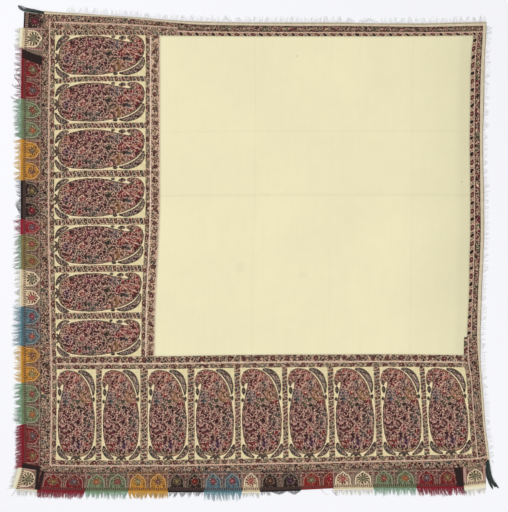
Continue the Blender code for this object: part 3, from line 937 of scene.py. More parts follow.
class SHAWL_OT_stage(bpy.types.Operator):
    """Lays the pale floor and sets the soft lights and the overhead camera"""

    bl_idname = "shawl.stage"
    bl_label = "Stage"

    def execute(self, context):
        properties = context.scene.shawl_stage
        mesh = bpy.data.meshes.new("floor")
        corners = [(-1, -1), (1, -1), (1, 1), (-1, 1)]
        points = [(x * FLOOR_HALF, y * FLOOR_HALF, 0) for x, y in corners]
        mesh.from_pydata(points, [], [(0, 1, 2, 3)])
        floor = link("floor", mesh)
        loom = Loom("floor")
        mesh.materials.append(loom.finish(tuple(properties.floor_colour), ROUGHNESS, **PLAIN))
        world = bpy.data.worlds.new("studio")
        world.use_nodes = True
        background = world.node_tree.nodes["Background"]
        background.inputs["Color"].default_value = (1.0, 1.0, 1.0, 1.0)
        background.inputs["Strength"].default_value = SKY_STRENGTH
        context.scene.world = world
        for name, (place, power) in LIGHTS.items():
            add_light(name, place, power)
        context.scene.view_settings.view_transform = "Standard"
        add_camera(properties.camera_height)
        return {"FINISHED"}


STEP_MIDDLE = (STEP_LOW + STEP_HIGH) / 2
FIELD_CELL = 8.0
BORDER_CELL = 4.0


def stepped(along, up):
    """Moves the seam between the field and the right border in below the step."""
    on_seam = np.isclose(along, FIELD_RIGHT) & (up < STEP_MIDDLE)
    return np.where(on_seam, along - STEP_DEPTH, along)


def wear(piece, nodes):
    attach(piece, BODY)
    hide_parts(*nodes)
    return piece


def lay_sheet(box, threads=(), cut=None):
    """Works out how large a cloth was cut: its box's size unless a cut is given."""
    left, right, low, high = box
    flat = cut or ((right - left) * MM, (high - low) * MM)


class SHAWL_OT_field(bpy.types.Operator):
    """Weaves the plain cream field"""

    bl_idname = "shawl.field"
    bl_label = "Field"

    def execute(self, context):
        thickness = context.scene.shawl_sizes.field_thickness / MM
        box = (FIELD_LEFT, FIELD_RIGHT, FIELD_LOW, FIELD_TOP)
        step = Band(FIELD_LEFT, FIELD_RIGHT, STEP_LOW, STEP_HIGH, "plain", LEVEL)
        cloth = Cloth(*box, FIELD_CELL, [step, Band(*box, "plain", LEVEL)], stepped)
        piece = cloth.build("field_cloth", thickness, {"plain": weave_field()})
        wear(piece, ["field"])
        lay_sheet(box)
        return {"FINISHED"}


# The paisley compartments of the two deep borders, bottom to top and left to right.
LEFT_COMPARTMENTS = (
    (472, 602), (625, 766), (790, 931), (955, 1097), (1121, 1267), (1287, 1430), (1449, 1591),
)
LOWER_COMPARTMENTS = (
    (117, 257), (278, 415), (442, 581), (605, 744), (765, 910), (929, 1069), (1090, 1229),
    (1251, 1388), (1406, 1546),
)

# Bands of the borders, named by where they run.
OUTER_FLOWERS = 29.0
PALE_LINE = 4.5
FINE_LINE = 3.6
INNER_FLOWERS = 16.5
DEEP_LEFT = BORDER_LEFT + OUTER_FLOWERS + PALE_LINE + INNER_FLOWERS
DEEP_RIGHT = 418.0
FIELD_FLOWERS_LEFT = 436.8
PALE_EDGE = 463.0
DEEP_LOW = 116.0
DEEP_HIGH = 428.0
FIELD_FLOWERS_LOW = 448.6
GUARD_LEFT = 1546.0
GUARD_RIGHT = 1562.0
GUARD_LINE_RIGHT = 1566.0
TOP_GUARD = 1611.0
TOP_INNER = 1634.0
TOP_LINE = 1639.5
TOP_TURN = 527.0
TOP_MEANDER = 1612.0
TOP_MEANDER_LINE = 1620.0
RIGHT_MEANDER = 1575.5
RIGHT_MEANDER_LINE = 1579.0


OUTER_WEAVES = ("outer_flowers", "pale_line", "inner_flowers")


def stacked(way, edges, weaves, start, end):
    """Bands side by side, from the edges between them, all as long as from start to end."""
    pairs = zip(edges, edges[1:])
    if way == UPRIGHT:
        return [Band(*pair, start, end, weave, way) for pair, weave in zip(pairs, weaves)]
    return [Band(start, end, *pair, weave, way) for pair, weave in zip(pairs, weaves)]


def compartments(rooms, way, start, end):
    """Guard strips between the rooms of a row, and then its paisleys."""
    cross = LEVEL if way == UPRIGHT else UPRIGHT
    gaps = [(before[1], after[0]) for before, after in zip(rooms, rooms[1:])]
    parts = [(gap, "guard", cross) for gap in gaps] + [(room, "paisley", way) for room in rooms]
    if way == UPRIGHT:
        return [Band(start, end, *part, weave, lies) for part, weave, lies in parts]
    return [Band(*part, start, end, weave, lies) for part, weave, lies in parts]


def left_frame(low, high):
    """The upright bands along the outer side of the left border."""
    line = BORDER_LEFT + OUTER_FLOWERS
    edges = (BORDER_LEFT, line, line + PALE_LINE, DEEP_LEFT)
    return stacked(UPRIGHT, edges, OUTER_WEAVES, low, high)


def right_frame(low, high):
    """The upright bands along the outer side of the right border's lower end."""
    edges = (GUARD_LEFT, GUARD_RIGHT, GUARD_LINE_RIGHT, HEM_LEFT)
    return stacked(UPRIGHT, edges, OUTER_WEAVES[::-1], low, high)


def top_frame(left, right):
    """The level bands above the left border's compartments."""
    edges = (FIELD_TOP, TOP_GUARD, TOP_INNER, TOP_LINE, HEM_LOW)
    return stacked(LEVEL, edges, ("guard", *OUTER_WEAVES[::-1]), left, right)


def left_border_bands():
    inner_line = FIELD_FLOWERS_LEFT - PALE_LINE
    inner_edges = (DEEP_RIGHT, inner_line, FIELD_FLOWERS_LEFT, PALE_EDGE, FIELD_LEFT)
    inner_weaves = ("inner_flowers", "bright_line", "left_flowers", "bright_line")
    return [
        Band(BORDER_LEFT, FIELD_LEFT, FIELD_LOW, HEM_LOW, "guard", LEVEL),
        *stacked(UPRIGHT, inner_edges, inner_weaves, FIELD_LOW, FIELD_TOP),
        *compartments(LEFT_COMPARTMENTS, UPRIGHT, DEEP_LEFT, DEEP_RIGHT),
        *left_frame(FIELD_LOW, TOP_LINE),
        *top_frame(DEEP_LEFT, FIELD_LEFT),
        Band(BORDER_LEFT, DEEP_LEFT, TOP_LINE, HEM_LOW, "outer_flowers", LEVEL),
    ]


def lower_border_bands():
    inner = BORDER_LOW + OUTER_FLOWERS
    outer_edges = (BORDER_LOW, inner - PALE_LINE, inner, DEEP_LOW)
    strip_top = DEEP_HIGH + INNER_FLOWERS
    inner_edges = (FIELD_FLOWERS_LOW - FINE_LINE, FIELD_FLOWERS_LOW, FIELD_LOW)
    inner_weaves = ("bright_line", "field_flowers")
    corner = BORDER_LEFT + OUTER_FLOWERS
    return [
        Band(BORDER_LEFT, HEM_LEFT, BORDER_LOW, FIELD_LOW, "guard", LEVEL),
        *stacked(LEVEL, outer_edges, OUTER_WEAVES, BORDER_LEFT, HEM_LEFT),
        Band(DEEP_LEFT, GUARD_LEFT, DEEP_HIGH, strip_top, "inner_flowers", LEVEL),
        *stacked(LEVEL, inner_edges, inner_weaves, DEEP_LEFT, GUARD_LEFT),
        *compartments(LOWER_COMPARTMENTS, LEVEL, DEEP_LOW, DEEP_HIGH),
        *left_frame(inner, FIELD_LOW),
        Band(BORDER_LEFT, corner, BORDER_LOW, inner, "outer_flowers", UPRIGHT),
        *right_frame(inner, FIELD_LOW),
    ]


NARROW_WEAVES = ("meander", "pale_line", "dark_flowers")


def top_border_bands():
    edges = (FIELD_TOP, TOP_MEANDER, TOP_MEANDER_LINE, HEM_LOW)
    return [
        *top_frame(FIELD_LEFT, TOP_TURN), *stacked(LEVEL, edges, NARROW_WEAVES, TOP_TURN, HEM_LEFT)
    ]


def right_border_bands():
    edges = (FIELD_RIGHT, RIGHT_MEANDER, RIGHT_MEANDER_LINE, HEM_LEFT)
    lower = [
        band._replace(left=max(band.left, FIELD_RIGHT))
        for band in right_frame(FIELD_LOW, STEP_MIDDLE)
    ]
    return [*stacked(UPRIGHT, edges, NARROW_WEAVES, STEP_MIDDLE, FIELD_TOP), *lower]


def border_materials():
    small = ("bark", "mulberry", "moss", "bark", "slate", "umber")
    floral = ("bark", "maroon", "slate", "mulberry", "moss", "bark", "umber", "bark", "mulberry")
    dark = ("maroon", "bark", "mulberry", "bark", "maroon", "moss")
    return {
        "inner_flowers": weave_strip(
            "inner_flowers", 28.5, 5.8, ("russet", "moss"), small, 7.5, squash=0.8, net_half=0.8
        ),
        "field_flowers": weave_strip(
            "field_flowers", 25, 7.6, ("russet", "bark"), small, net_half=1.1
        ),
        "left_flowers": weave_strip(
            "left_flowers", 25, 6.6, ("russet", "umber"), small, net_half=1.5
        ),
        "outer_flowers": weave_mosaic(
            "outer_flowers", 9.5, floral, net_half=0.78, net_share=0.58
        ),
        "dark_flowers": weave_mosaic(
            "dark_flowers", 11.5, dark, net_half=0.85, net_share=0.7, dark_from=7.6
        ),
        "guard": weave_guard(),
        "pale_line": weave_line("pale_line", "rose"),
        "bright_line": weave_line("bright_line", "bright_line"),
        "meander": weave_meander(),
        "paisley": weave_paisley(),
    }


# Paisley in a compartment 146 mm wide and 310 mm high: places right of its middle and up from its
# foot.
COMPARTMENT_WIDE = 146.0
COMPARTMENT_HIGH = 310.0
BODY_OUTLINE = (
    (-30, 16), (-46, 30), (-58, 52), (-65, 82), (-68, 116), (-68, 150), (-64, 181), (-58, 205),
    (-53, 230), (-48, 250), (-50, 267), (-56, 256), (-64, 246), (-70, 258), (-70, 275), (-64, 291),
    (-53, 301), (-36, 306), (-18, 305), (0, 300), (16, 290), (31, 274), (43, 255), (52, 233),
    (58, 210), (63, 184), (67, 160), (69, 136), (68, 108), (66, 80), (61, 54), (52, 34), (40, 21),
    (26, 14), (0, 11),
)
LEAF_OUTLINES = (
    ((6, 303), (20, 306), (37, 302), (51, 291), (61, 275), (67, 254), (67, 236), (62, 220),
     (58, 236), (49, 258), (38, 276), (23, 292)),
    ((-66, 48), (-69, 33), (-62, 18), (-48, 7), (-28, 3), (-37, 14), (-49, 28), (-59, 42)),
    ((69, 48), (72, 33), (66, 18), (52, 7), (31, 3), (40, 12), (52, 25), (61, 39)),
    ((-62, 242), (-68, 233), (-62, 219), (-57, 231)),
    ((-66, 205), (-70, 200), (-66, 194), (-63, 200)),
    ((64, 214), (68, 208), (65, 200), (61, 208)),
    ((-18, 1), (-12, 9), (1, 13), (14, 9), (20, 1), (11, 6), (1, 9), (-9, 6)),
    ((-4, 2), (1, 6), (6, 2), (1, -2)),
)
INSET_OUTLINES = (
    ((3, 172), (15, 158), (25, 142), (15, 127), (3, 114), (-9, 127), (-19, 142), (-9, 158)),
    ((4, 110), (12, 103), (17, 96), (12, 89), (4, 82), (-4, 89), (-9, 96), (-4, 103)),
    ((-6, 22), (-11, 32), (-13, 48), (-9, 34)),
    ((17, 22), (22, 32), (25, 48), (20, 34)),
    ((-16, 258), (-6, 274), (0, 298), (-9, 276)),
    ((-32, 228), (-16, 244), (-2, 262), (-18, 248)),
    ((-34, 270), (-26, 282), (-22, 298), (-30, 284)),
    ((18, 246), (24, 258), (27, 270), (20, 260)),
)
Zone = namedtuple("Zone", "right up half_wide half_high dye")
ZONES = rows(
    Zone,
    (0, 280, 60, 30, "madder"),
    (-20, 245, 26, 26, "garnet"),
    (10, 252, 16, 16, "slate"),
    (34, 219, 22, 26, "ochre"),
    (-37, 212, 17, 22, "steel"),
    (-12, 227, 12, 12, "garnet"),
    (52, 190, 11, 11, "garnet"),
    (2, 190, 26, 20, "moss"),
    (-46, 130, 20, 36, "magenta"),
    (50, 136, 18, 35, "slate"),
    (3, 143, 20, 26, "maroon"),
    (4, 96, 13, 14, "garnet"),
    (-30, 75, 26, 22, "maroon"),
    (40, 80, 24, 20, "slate"),
    (50, 85, 10, 10, "garnet"),
    (6, 49, 18, 20, "plum"),
    (-35, 45, 16, 14, "madder"),
    (38, 48, 16, 14, "madder"),
    (0, 20, 40, 8, "olive"),
)


def smooth_outline(points, steps=4):
    """A closed smooth curve through the points."""
    here = np.array(points, float)
    before, after, beyond = (
        np.roll(here, shift, axis=0)[:, None, :] for shift in (1, -1, -2)
    )
    here = here[:, None, :]
    share = np.linspace(0, 1, steps, endpoint=False)[None, :, None]
    curve = (
        2 * here
        + (after - before) * share
        + (2 * before - 5 * here + 4 * after - beyond) * share**2
        + (3 * here - before - 3 * after + beyond) * share**3
    ) / 2
    return curve.reshape(-1, 2)


def depth_within(outline, u, v):
    """Distance of places from a closed outline, above zero inside it."""
    nearest = np.full(u.shape, np.inf)
    inside = np.zeros(u.shape, bool)
    for (u0, v0), (u1, v1) in zip(outline, np.roll(outline, -1, axis=0)):
        run_u, run_v = u1 - u0, v1 - v0
        share = ((u - u0) * run_u + (v - v0) * run_v) / max(run_u**2 + run_v**2, 1e-9)
        share = np.clip(share, 0, 1)
        nearest = np.minimum(nearest, np.hypot(u - u0 - share * run_u, v - v0 - share * run_v))
        if v0 != v1:
            crosses = ((v0 > v) != (v1 > v)) & (u < run_u * (v - v0) / run_v + u0)
            inside ^= crosses
    return np.where(inside, nearest, -nearest)


NOWHERE = 1000.0
OUTSIDE = -9.0
ZONE_REACH = 1.15
ZONE_SOFT = 0.3


def paisley_charts(cloth):
    """Depths within the paisleys' outlines, and the dye of each of their parts."""
    along, up = cloth.along.ravel(), cloth.up.ravel()
    u, v = np.full((2, len(along)), NOWHERE)
    for band in cloth.bands:
        if band.weave != "paisley":
            continue
        here = (along >= band.left) & (along <= band.right) & (up >= band.low) & (up <= band.high)
        if band.way == LEVEL:
            across, rise = along[here] - (band.left + band.right) / 2, up[here] - band.low
            wide, high = band.right - band.left, band.high - band.low
        else:
            across, rise = (band.low + band.high) / 2 - up[here], along[here] - band.left
            wide, high = band.high - band.low, band.right - band.left
        u[here] = across * COMPARTMENT_WIDE / wide
        v[here] = rise * COMPARTMENT_HIGH / high
    depths = np.full((3, len(u)), OUTSIDE)
    near = u < NOWHERE
    for depth, outlines in zip(depths, ((BODY_OUTLINE,), LEAF_OUTLINES, INSET_OUTLINES)):
        smooth = [smooth_outline(outline) for outline in outlines]
        depth[near] = np.max([depth_within(line, u[near], v[near]) for line in smooth], axis=0)
    colour = np.tile(DYES["mulberry"], (len(u), 1))
    for zone in ZONES:
        off = ((u - zone.right) / zone.half_wide) ** 2 + ((v - zone.up) / zone.half_high) ** 2
        share = np.clip((ZONE_REACH - off) / ZONE_SOFT, 0, 1)[:, None]
        colour += (np.array(DYES[zone.dye]) - colour) * share
    return {"Paisley": depths.T, "Zone": colour}


# The four borders: plan, bands, how a seam moves, and the cut where it isn't the plan's box.
Border = namedtuple("Border", "node box bands shift cut")


class SHAWL_OT_borders(bpy.types.Operator):
    """Weaves the four flowered borders"""

    bl_idname = "shawl.borders"
    bl_label = "Borders"

    def execute(self, context):
        thickness = context.scene.shawl_sizes.border_thickness / MM
        materials = border_materials()
        left = (BORDER_LEFT, FIELD_LEFT, FIELD_LOW, HEM_LOW)
        lower = (BORDER_LEFT, HEM_LEFT, BORDER_LOW, FIELD_LOW)
        top = (FIELD_LEFT, HEM_LEFT, FIELD_TOP, HEM_LOW)
        right = (FIELD_RIGHT, HEM_LEFT, FIELD_LOW, FIELD_TOP)
        for border in rows(
            Border,
            ("border_left", left, left_border_bands(), None, None),
            ("border_low", lower, lower_border_bands(), None, None),
            ("border_top", top, top_border_bands(), None, (1.137, 0.04)),
            ("border_right", right, right_border_bands(), stepped, (0.04, 1.117)),
        ):
            cloth = Cloth(*border.box, BORDER_CELL, border.bands, border.shift)
            charts = paisley_charts(cloth)
            piece = cloth.build(f"{border.node}_cloth", thickness, materials, charts)
            wear(piece, [border.node])
            lay_sheet(border.box, cut=border.cut)
        return {"FINISHED"}


class Heap:
    """Points, faces and thread colours that gather into one mesh."""

    def __init__(self):
        self.points, self.faces, self.tints = [], [], []
        self.count = 0

    def add(self, points, faces, tints):
        self.points.append(points.reshape(-1, 3))
        self.tints.append(tints.reshape(-1, 3))
        self.faces += (np.asarray(faces) + self.count).tolist()
        self.count += len(self.points[-1])

    def build(self, name, material):
        mesh = bpy.data.meshes.new(name)
        mesh.from_pydata(np.concatenate(self.points).tolist(), [], self.faces)
        mesh.materials.append(material)
        tint = mesh.attributes.new("Tint", "FLOAT_COLOR", "POINT")
        colours = np.concatenate(self.tints)
        tint.data.foreach_set("color", np.hstack([colours, np.ones((len(colours), 1))]).ravel())
        mesh.polygons.foreach_set("use_smooth", np.ones(len(self.faces), bool))
        mesh.validate()
        return link(name, mesh)


THREAD_SIDES = 3
THREAD_RINGS = 7
TIP_CLEARANCE = 0.15
TIP_WHITE = 0.92
ROOT_SHARE = 0.75
ROOT_REACH = 0.6
THREAD_TAPER = 0.45
DARK_THREADS = 0.07
DARK_SHADE = 0.25
PALEST = 1.2

# How loose threads lie: how often a new wisp starts, how closely it gathers, how far threads and
# wisps reach, how a wisp bends, how threads curl and turn, and how high they rise, in millimetres.
NEW_WISP = 0.11
GATHERING = (0.4, 0.98)
THREAD_REACH = (0.7, 1.04)
WISP_REACH = (0.75, 1.0)
WISP_BEND = 0.11
CURL = 0.035
CURL_TURNS = (4, 9)
THREAD_LIFT = (0.1, 1.5)
TIP_HEIGHT = 0.45
ROOT_HEIGHT = 1.0
ROOT_SCATTER = (0.1, 0.9)
FIBRE_ROUGHNESS = 0.85


def thread_faces(count, rings):
    """Faces round threads whose points are counted by thread, ring and corner."""
    first = np.arange(count)[:, None, None] * rings * THREAD_SIDES
    ring = np.arange(rings - 1)[None, :, None] * THREAD_SIDES
    corner = np.arange(THREAD_SIDES)[None, None, :]
    here = first + ring + corner
    beside = first + ring + (corner + 1) % THREAD_SIDES
    faces = [here, beside, beside + THREAD_SIDES, here + THREAD_SIDES]
    return np.stack(faces, axis=-1).reshape(-1, 4)


def thread_shades(tints, rings, fade, root):
    """Colours along threads, from the colour of their roots to their paler tips."""
    paling = fade * np.linspace(0, 1, rings)[None, :, None, None]
    shades = tints[:, None, None, :] * (1 - paling) + TIP_WHITE * paling
    if root is None:
        return shades
    share = ROOT_SHARE * np.clip(1 - np.linspace(0, 1, rings) / ROOT_REACH, 0, 1)[:, None, None]
    return shades * (1 - share) + np.array(root) * share


def add_threads(heap, paths, radius, tints, fade=0.0, root=None):
    """Tapering threads on paths in the plan's millimetres, an array of thread, ring, place.

    fade is the share of white in the colour of their tips, and root their colour where they start.
    """
    count, rings, _ = paths.shape
    ahead = np.gradient(paths, axis=1)
    ahead /= np.linalg.norm(ahead, axis=2, keepdims=True)
    side = np.cross(ahead, [0.0, 0.0, 1.0])
    side /= np.linalg.norm(side, axis=2, keepdims=True)
    over = np.cross(side, ahead)
    taper = radius * np.linspace(1.0, THREAD_TAPER, rings)[None, :, None]
    corners = []
    for number in range(THREAD_SIDES):
        turn = 2 * np.pi * number / THREAD_SIDES + np.pi / 2
        corners.append(paths + taper * (np.cos(turn) * side + np.sin(turn) * over))
    points = np.stack(corners, axis=2)
    points[..., 2] = np.maximum(points[..., 2], TIP_CLEARANCE)
    places = in_row(points[..., 0], points[..., 1], points[..., 2])
    shades = thread_shades(tints, rings, fade, root)
    shades = np.broadcast_to(shades, (count, rings, THREAD_SIDES, 3))
    heap.add(places, thread_faces(count, rings), shades)


def ravelled(roots, out, length, lean, spread, rng):
    """Paths of loose threads from their roots: they lean, gather in wisps and curl."""
    count = len(roots)
    sine, cosine = np.sin(np.radians(-lean)), np.cos(np.radians(-lean))
    heading = np.array([out[0] * cosine - out[1] * sine, out[0] * sine + out[1] * cosine])
    aside = np.array([-heading[1], heading[0]])
    wisp = np.cumsum(rng.uniform(0, 1, count) < NEW_WISP)
    wisps = wisp.max() + 1
    wisp_pull = rng.normal(0, 1, wisps)[wisp]
    middles = np.array([np.mean(np.nonzero(wisp == number)[0]) for number in range(wisps)])
    gather = (middles[wisp] - np.arange(count)) / max(count - 1, 1)
    row = roots[-1, :2] - roots[0, :2]
    breadth = np.linalg.norm(row)
    towards = gather * breadth * rng.uniform(*GATHERING, count)
    reach = length * rng.uniform(*THREAD_REACH, count) * rng.uniform(*WISP_REACH, wisps)[wisp]
    share = np.linspace(0, 1, THREAD_RINGS)[None, :]
    bend = (wisp_pull * WISP_BEND + rng.normal(0, spread, count))[:, None] * share**2
    curl = rng.normal(0, CURL, count)[:, None]
    curl = curl * np.sin(share * rng.uniform(*CURL_TURNS, count)[:, None])
    ahead = reach[:, None] * share
    sideways = reach[:, None] * (bend + curl)
    flat = (
        roots[:, None, :2]
        + ahead[..., None] * heading
        + sideways[..., None] * aside
        + (towards[:, None] * np.sin(share * np.pi / 2) ** 2)[..., None] * row / breadth
    )
    lift = rng.uniform(*THREAD_LIFT, count)[:, None] * np.sin(share * np.pi) ** 2
    height = roots[:, None, 2] * (1 - share) ** 1.5 + TIP_HEIGHT * share + lift
    return np.concatenate([flat, height[..., None]], axis=2)


def thread_tints(colours, count, rng, darkest=0.7, dark_share=DARK_THREADS):
    """Threads dyed in a few close colours, some paler and some darker, and a few quite dark."""
    picks = np.array(colours)[rng.integers(0, len(colours), count)]
    shades = rng.uniform(darkest, PALEST, count)
    shades = shades * np.where(rng.uniform(0, 1, count) < dark_share, DARK_SHADE, 1)
    return np.minimum(picks * shades[:, None], TIP_WHITE)


def edge_roots(upright, depth, start, end, pitch, rng):
    """Roots of threads along a line of the plan, unevenly spaced, a little above the cloth."""
    count = max(2, int((end - start) / pitch))
    shares = (np.arange(count) + rng.uniform(*ROOT_SCATTER, count)) / count
    places = np.sort(start + (end - start) * shares)
    x, y = laid(depth, places) if upright else laid(places, depth)
    return np.stack([x, y, relief(x, y) + ROOT_HEIGHT], axis=1)


def fibre(name):
    loom = Loom(name)
    tint = loom.add("ShaderNodeAttribute", {"attribute_name": "Tint"})
    return loom.finish(tint, FIBRE_ROUGHNESS, **PLAIN)


# Gate panels of the left side from the top down and of the lower side from left to right: the
# edges between them, and each one's ground, the middles of its arches, its flowers, the breadth
# of its heading, and the length and lean of its fringe.
Gate = namedtuple("Gate", "name start end dye arches flowers heading length lean")
LEFT_EDGES = (HEM_LOW, 1613.5, 1550, 1372, 1232, 1087, 953, 899, 777, 647, 509, 378, 231, 72)
LOWER_EDGES = (BORDER_LEFT, 229, 375, 512, 635, 767, 829, 970, 1081, 1217, 1357, 1512, 1592)


def gate_row(side, edges, *looks):
    """Numbers a side's panels and gives each its two edges."""
    return [
        Gate(f"gate_{side}_{number:02}", *sorted(pair), *look)
        for number, (pair, look) in enumerate(zip(zip(edges, edges[1:]), looks), 1)
    ]


LEFT_GATES = [
    *gate_row(
        "left", LEFT_EDGES,
        ("black", (1638,), ("wine",), 0, 0, 0),
        ("white", (1581,), ("moss",), 12, 22, 6),
        ("dark_red", (1408, 1480), ("steel", "leaf"), 4, 26, 14),
        ("green", (1267, 1337), ("orange", "scarlet"), 5, 30, 4),
        ("yellow", (1123, 1196), ("plum", "slate"), 5, 27, -4),
        ("black", (986, 1054), ("crimson", "olive"), 4, 21, 10),
        ("crimson", (926,), ("steel",), 5, 29, -8),
        ("olive", (807, 868), ("scarlet", "crimson"), 4, 30, -16),
        ("white", (679, 745), ("crimson", "moss"), 5, 26, -6),
        ("blue", (543, 613), ("orange", "crimson"), 5, 33, -3),
        ("yellow", (411, 476), ("leaf", "plum"), 5, 27, 2),
        ("green", (268, 341), ("orange", "crimson"), 5, 31, -5),
        ("dark_red", (124, 194), ("olive", "steel"), 4, 27, -14),
    ),
    Gate("gate_corner", 0, 72, "white", (36,), ("moss",), 14, 20, -10),
]
LOWER_GATES = gate_row(
    "low", LOWER_EDGES,
    ("dark_red", (116, 190), ("olive", "steel"), 4, 27, 10),
    ("green", (266, 339), ("orange", "crimson"), 5, 27, 2),
    ("yellow", (409, 478), ("leaf", "plum"), 5, 24, -3),
    ("black", (543, 604), ("olive", "scarlet"), 4, 19, 4),
    ("blue", (668, 734), ("scarlet", "crimson"), 5, 34, -3),
    ("white", (798,), ("crimson",), 6, 21, 0),
    ("black", (864, 935), ("umber", "plum"), 4, 14, -6),
    ("red", (1007, 1072), ("leaf", "crimson"), 0, 0, 0),
    ("white", (1115, 1183), ("crimson", "moss"), 6, 24, -8),
    ("green", (1252, 1322), ("crimson", "orange"), 5, 27, -10),
    ("dark_red", (1392, 1460), ("steel", "olive"), 5, 29, -16),
    ("white", (1552,), ("moss",), 16, 26, -6),
)

# What the corner panel's lower fringe has of its own: heading, length and lean.
CORNER_LOW = {"heading": 5, "length": 24, "lean": 6}

CORNER_GATE = "gate_corner"
LAST_GATE = "gate_low_12"
GATE_SEED = 17
GATE_CELL = 3.5
GATE_GROUNDS = {
    "dark_red": "garnet", "green": "leaf", "yellow": "amber", "black": "bark",
    "crimson": "crimson", "olive": "olive", "white": "ivory", "blue": "sky", "red": "scarlet",
}

# Each fringe: its dye at the root, its threads' dyes, how pale their tips are, and how closely
# they stand.
Fringe = namedtuple("Fringe", "root dyes fade density")
FRINGES = {
    "dark_red": Fringe("garnet", ("wool_red", "maroon", "wool_red"), 0.15, 0.6),
    "green": Fringe("leaf", ("wool_mint", "wool_mint", "leaf"), 0.42, 1.35),
    "yellow": Fringe("amber", ("wool_gold", "wool_gold", "wool_gold"), 0.45, 1.1),
    "black": Fringe("soot", ("soot", "pine"), 0.3, 0.55),
    "crimson": Fringe("crimson", ("wool_red", "wool_red"), 0.3, 1.0),
    "olive": Fringe("olive", ("wool_mint", "olive"), 0.5, 1.0),
    "white": Fringe("flap", ("wool_white", "wool_white", "cream"), 0.2, 0.8),
    "blue": Fringe("sky", ("wool_sky", "wool_sky", "sky"), 0.5, 1.3),
}
THICK_FRINGES = {
    **dict.fromkeys(
        ("gate_low_11", "gate_low_01", "gate_left_13"),
        Fringe("garnet", ("wool_red", "wool_red", "wool_red"), 0.1, 2.7),
    ),
    "gate_low_03": Fringe("amber", ("wool_gold", "amber", "wool_gold"), 0.05, 2.2),
}
HEADING_SLACK = 0.4
NARROW_HEADING = 2.5
FRINGE_PITCH = 0.95
THREAD_RADIUS = 0.45
ROOT_INSET = 1.5
FRINGE_SPREAD = 0.1

# A few long loose threads: how thick, their dye and their route over the surface in true
# millimetres.
LOOSE_THREADS = {
    "gate_left_03": (
        (0.7, "maroon", ((2, 1479), (-8, 1476), (-16.5, 1468), (-18.5, 1457))),
        (
            1.2, "maroon",
            ((2, 1447), (-8, 1451), (-13, 1456), (-24, 1453), (-22, 1441), (-13, 1434), (2, 1437)),
        ),
        (0.9, "soot", ((-33, 1419.5), (-26, 1412), (-17, 1405.5), (-8, 1403.5), (0, 1396.5))),
        (
            1.1, "soot",
            ((-36, 1377), (-31.5, 1371.5), (-24, 1369), (-14, 1367), (-5, 1373), (2, 1374)),
        ),
        (1.2, "wool_red", ((-12.5, 1431), (-7, 1419.5), (2, 1400.5))),
        (1.5, "rose", ((-24, 1556), (-12, 1551), (2, 1545))),
        (0.8, "soot", ((-25, 1551), (-10, 1546), (2, 1544))),
    ),
    "gate_left_04": (
        (0.6, "pine", ((-31.5, 1340), (-24, 1342.5), (-17, 1338), (-10, 1335))),
    ),
    "gate_left_08": (
        (0.8, "moss", ((-29, 779), (-22, 782), (-15, 786), (-3, 790))),
        (0.6, "moss", ((-29, 779), (-20, 775), (-8, 777), (0, 783))),
    ),
    "gate_left_09": ((1.1, "ochre", ((-4, 711), (2, 714), (9, 715.5))),),
    "gate_corner": ((0.5, "moss", ((-15, 8), (-24.5, -7), (-35, -22))),),
    "gate_low_01": (
        (1.0, "soot", ((70, -4), (64, -15), (57, -25))),
        (0.9, "maroon", ((80, -5), (70, -16), (58, -26))),
        (0.6, "maroon", ((109, -4), (103, -20), (99, -33))),
        (0.6, "maroon", ((115, -4), (112, -16), (111, -29))),
        (0.6, "wool_red", ((148, -6), (141, -18), (137, -25))),
    ),
    "gate_low_08": (
        (0.6, "pink", ((1048, 3), (1055.5, -6), (1063, -12), (1070, -16), (1075, -16))),
        (0.8, "mulberry", ((1087, 0), (1093, -9), (1102, -18), (1108, -17))),
    ),
    "gate_low_11": (
        (1.3, "soot", ((1541, 12), (1546, 0), (1554, -8), (1561, -13))),
        (1.1, "soot", ((1536, 10), (1541, -2), (1549, -12))),
        (1.1, "pine", ((1544, 10), (1552, -3), (1558, -9))),
    ),
}
LOOSE_RINGS = 16


def add_heading(heap, box, upright, thickness, inner, outer):
    """A narrow woven strip that the threads leave from, its colour passing into theirs."""
    cloth = Cloth(*box, GATE_CELL)
    depth = (cloth.along if upright else cloth.up).ravel()
    share = np.tile(depth / depth.min(), 2)[:, None]
    tints = np.array(inner) * (1 - share) + np.array(outer) * share
    heap.add(*cloth.shell(thickness), tints)


def add_loose_threads(heap, threads):
    for radius, dye_name, route in threads:
        stations = np.arange(len(route))
        wanted = np.linspace(0, len(route) - 1, LOOSE_RINGS)
        x, y = (smooth_column(stations, column, wanted) for column in zip(*route))
        on_cloth = (x > 0) & (y > 0)
        height = relief(x, y) + ROOT_HEIGHT + on_cloth
        paths = np.stack([x, y, height], axis=1)[None]
        add_threads(heap, paths, radius, np.array([DYES[dye_name]]))


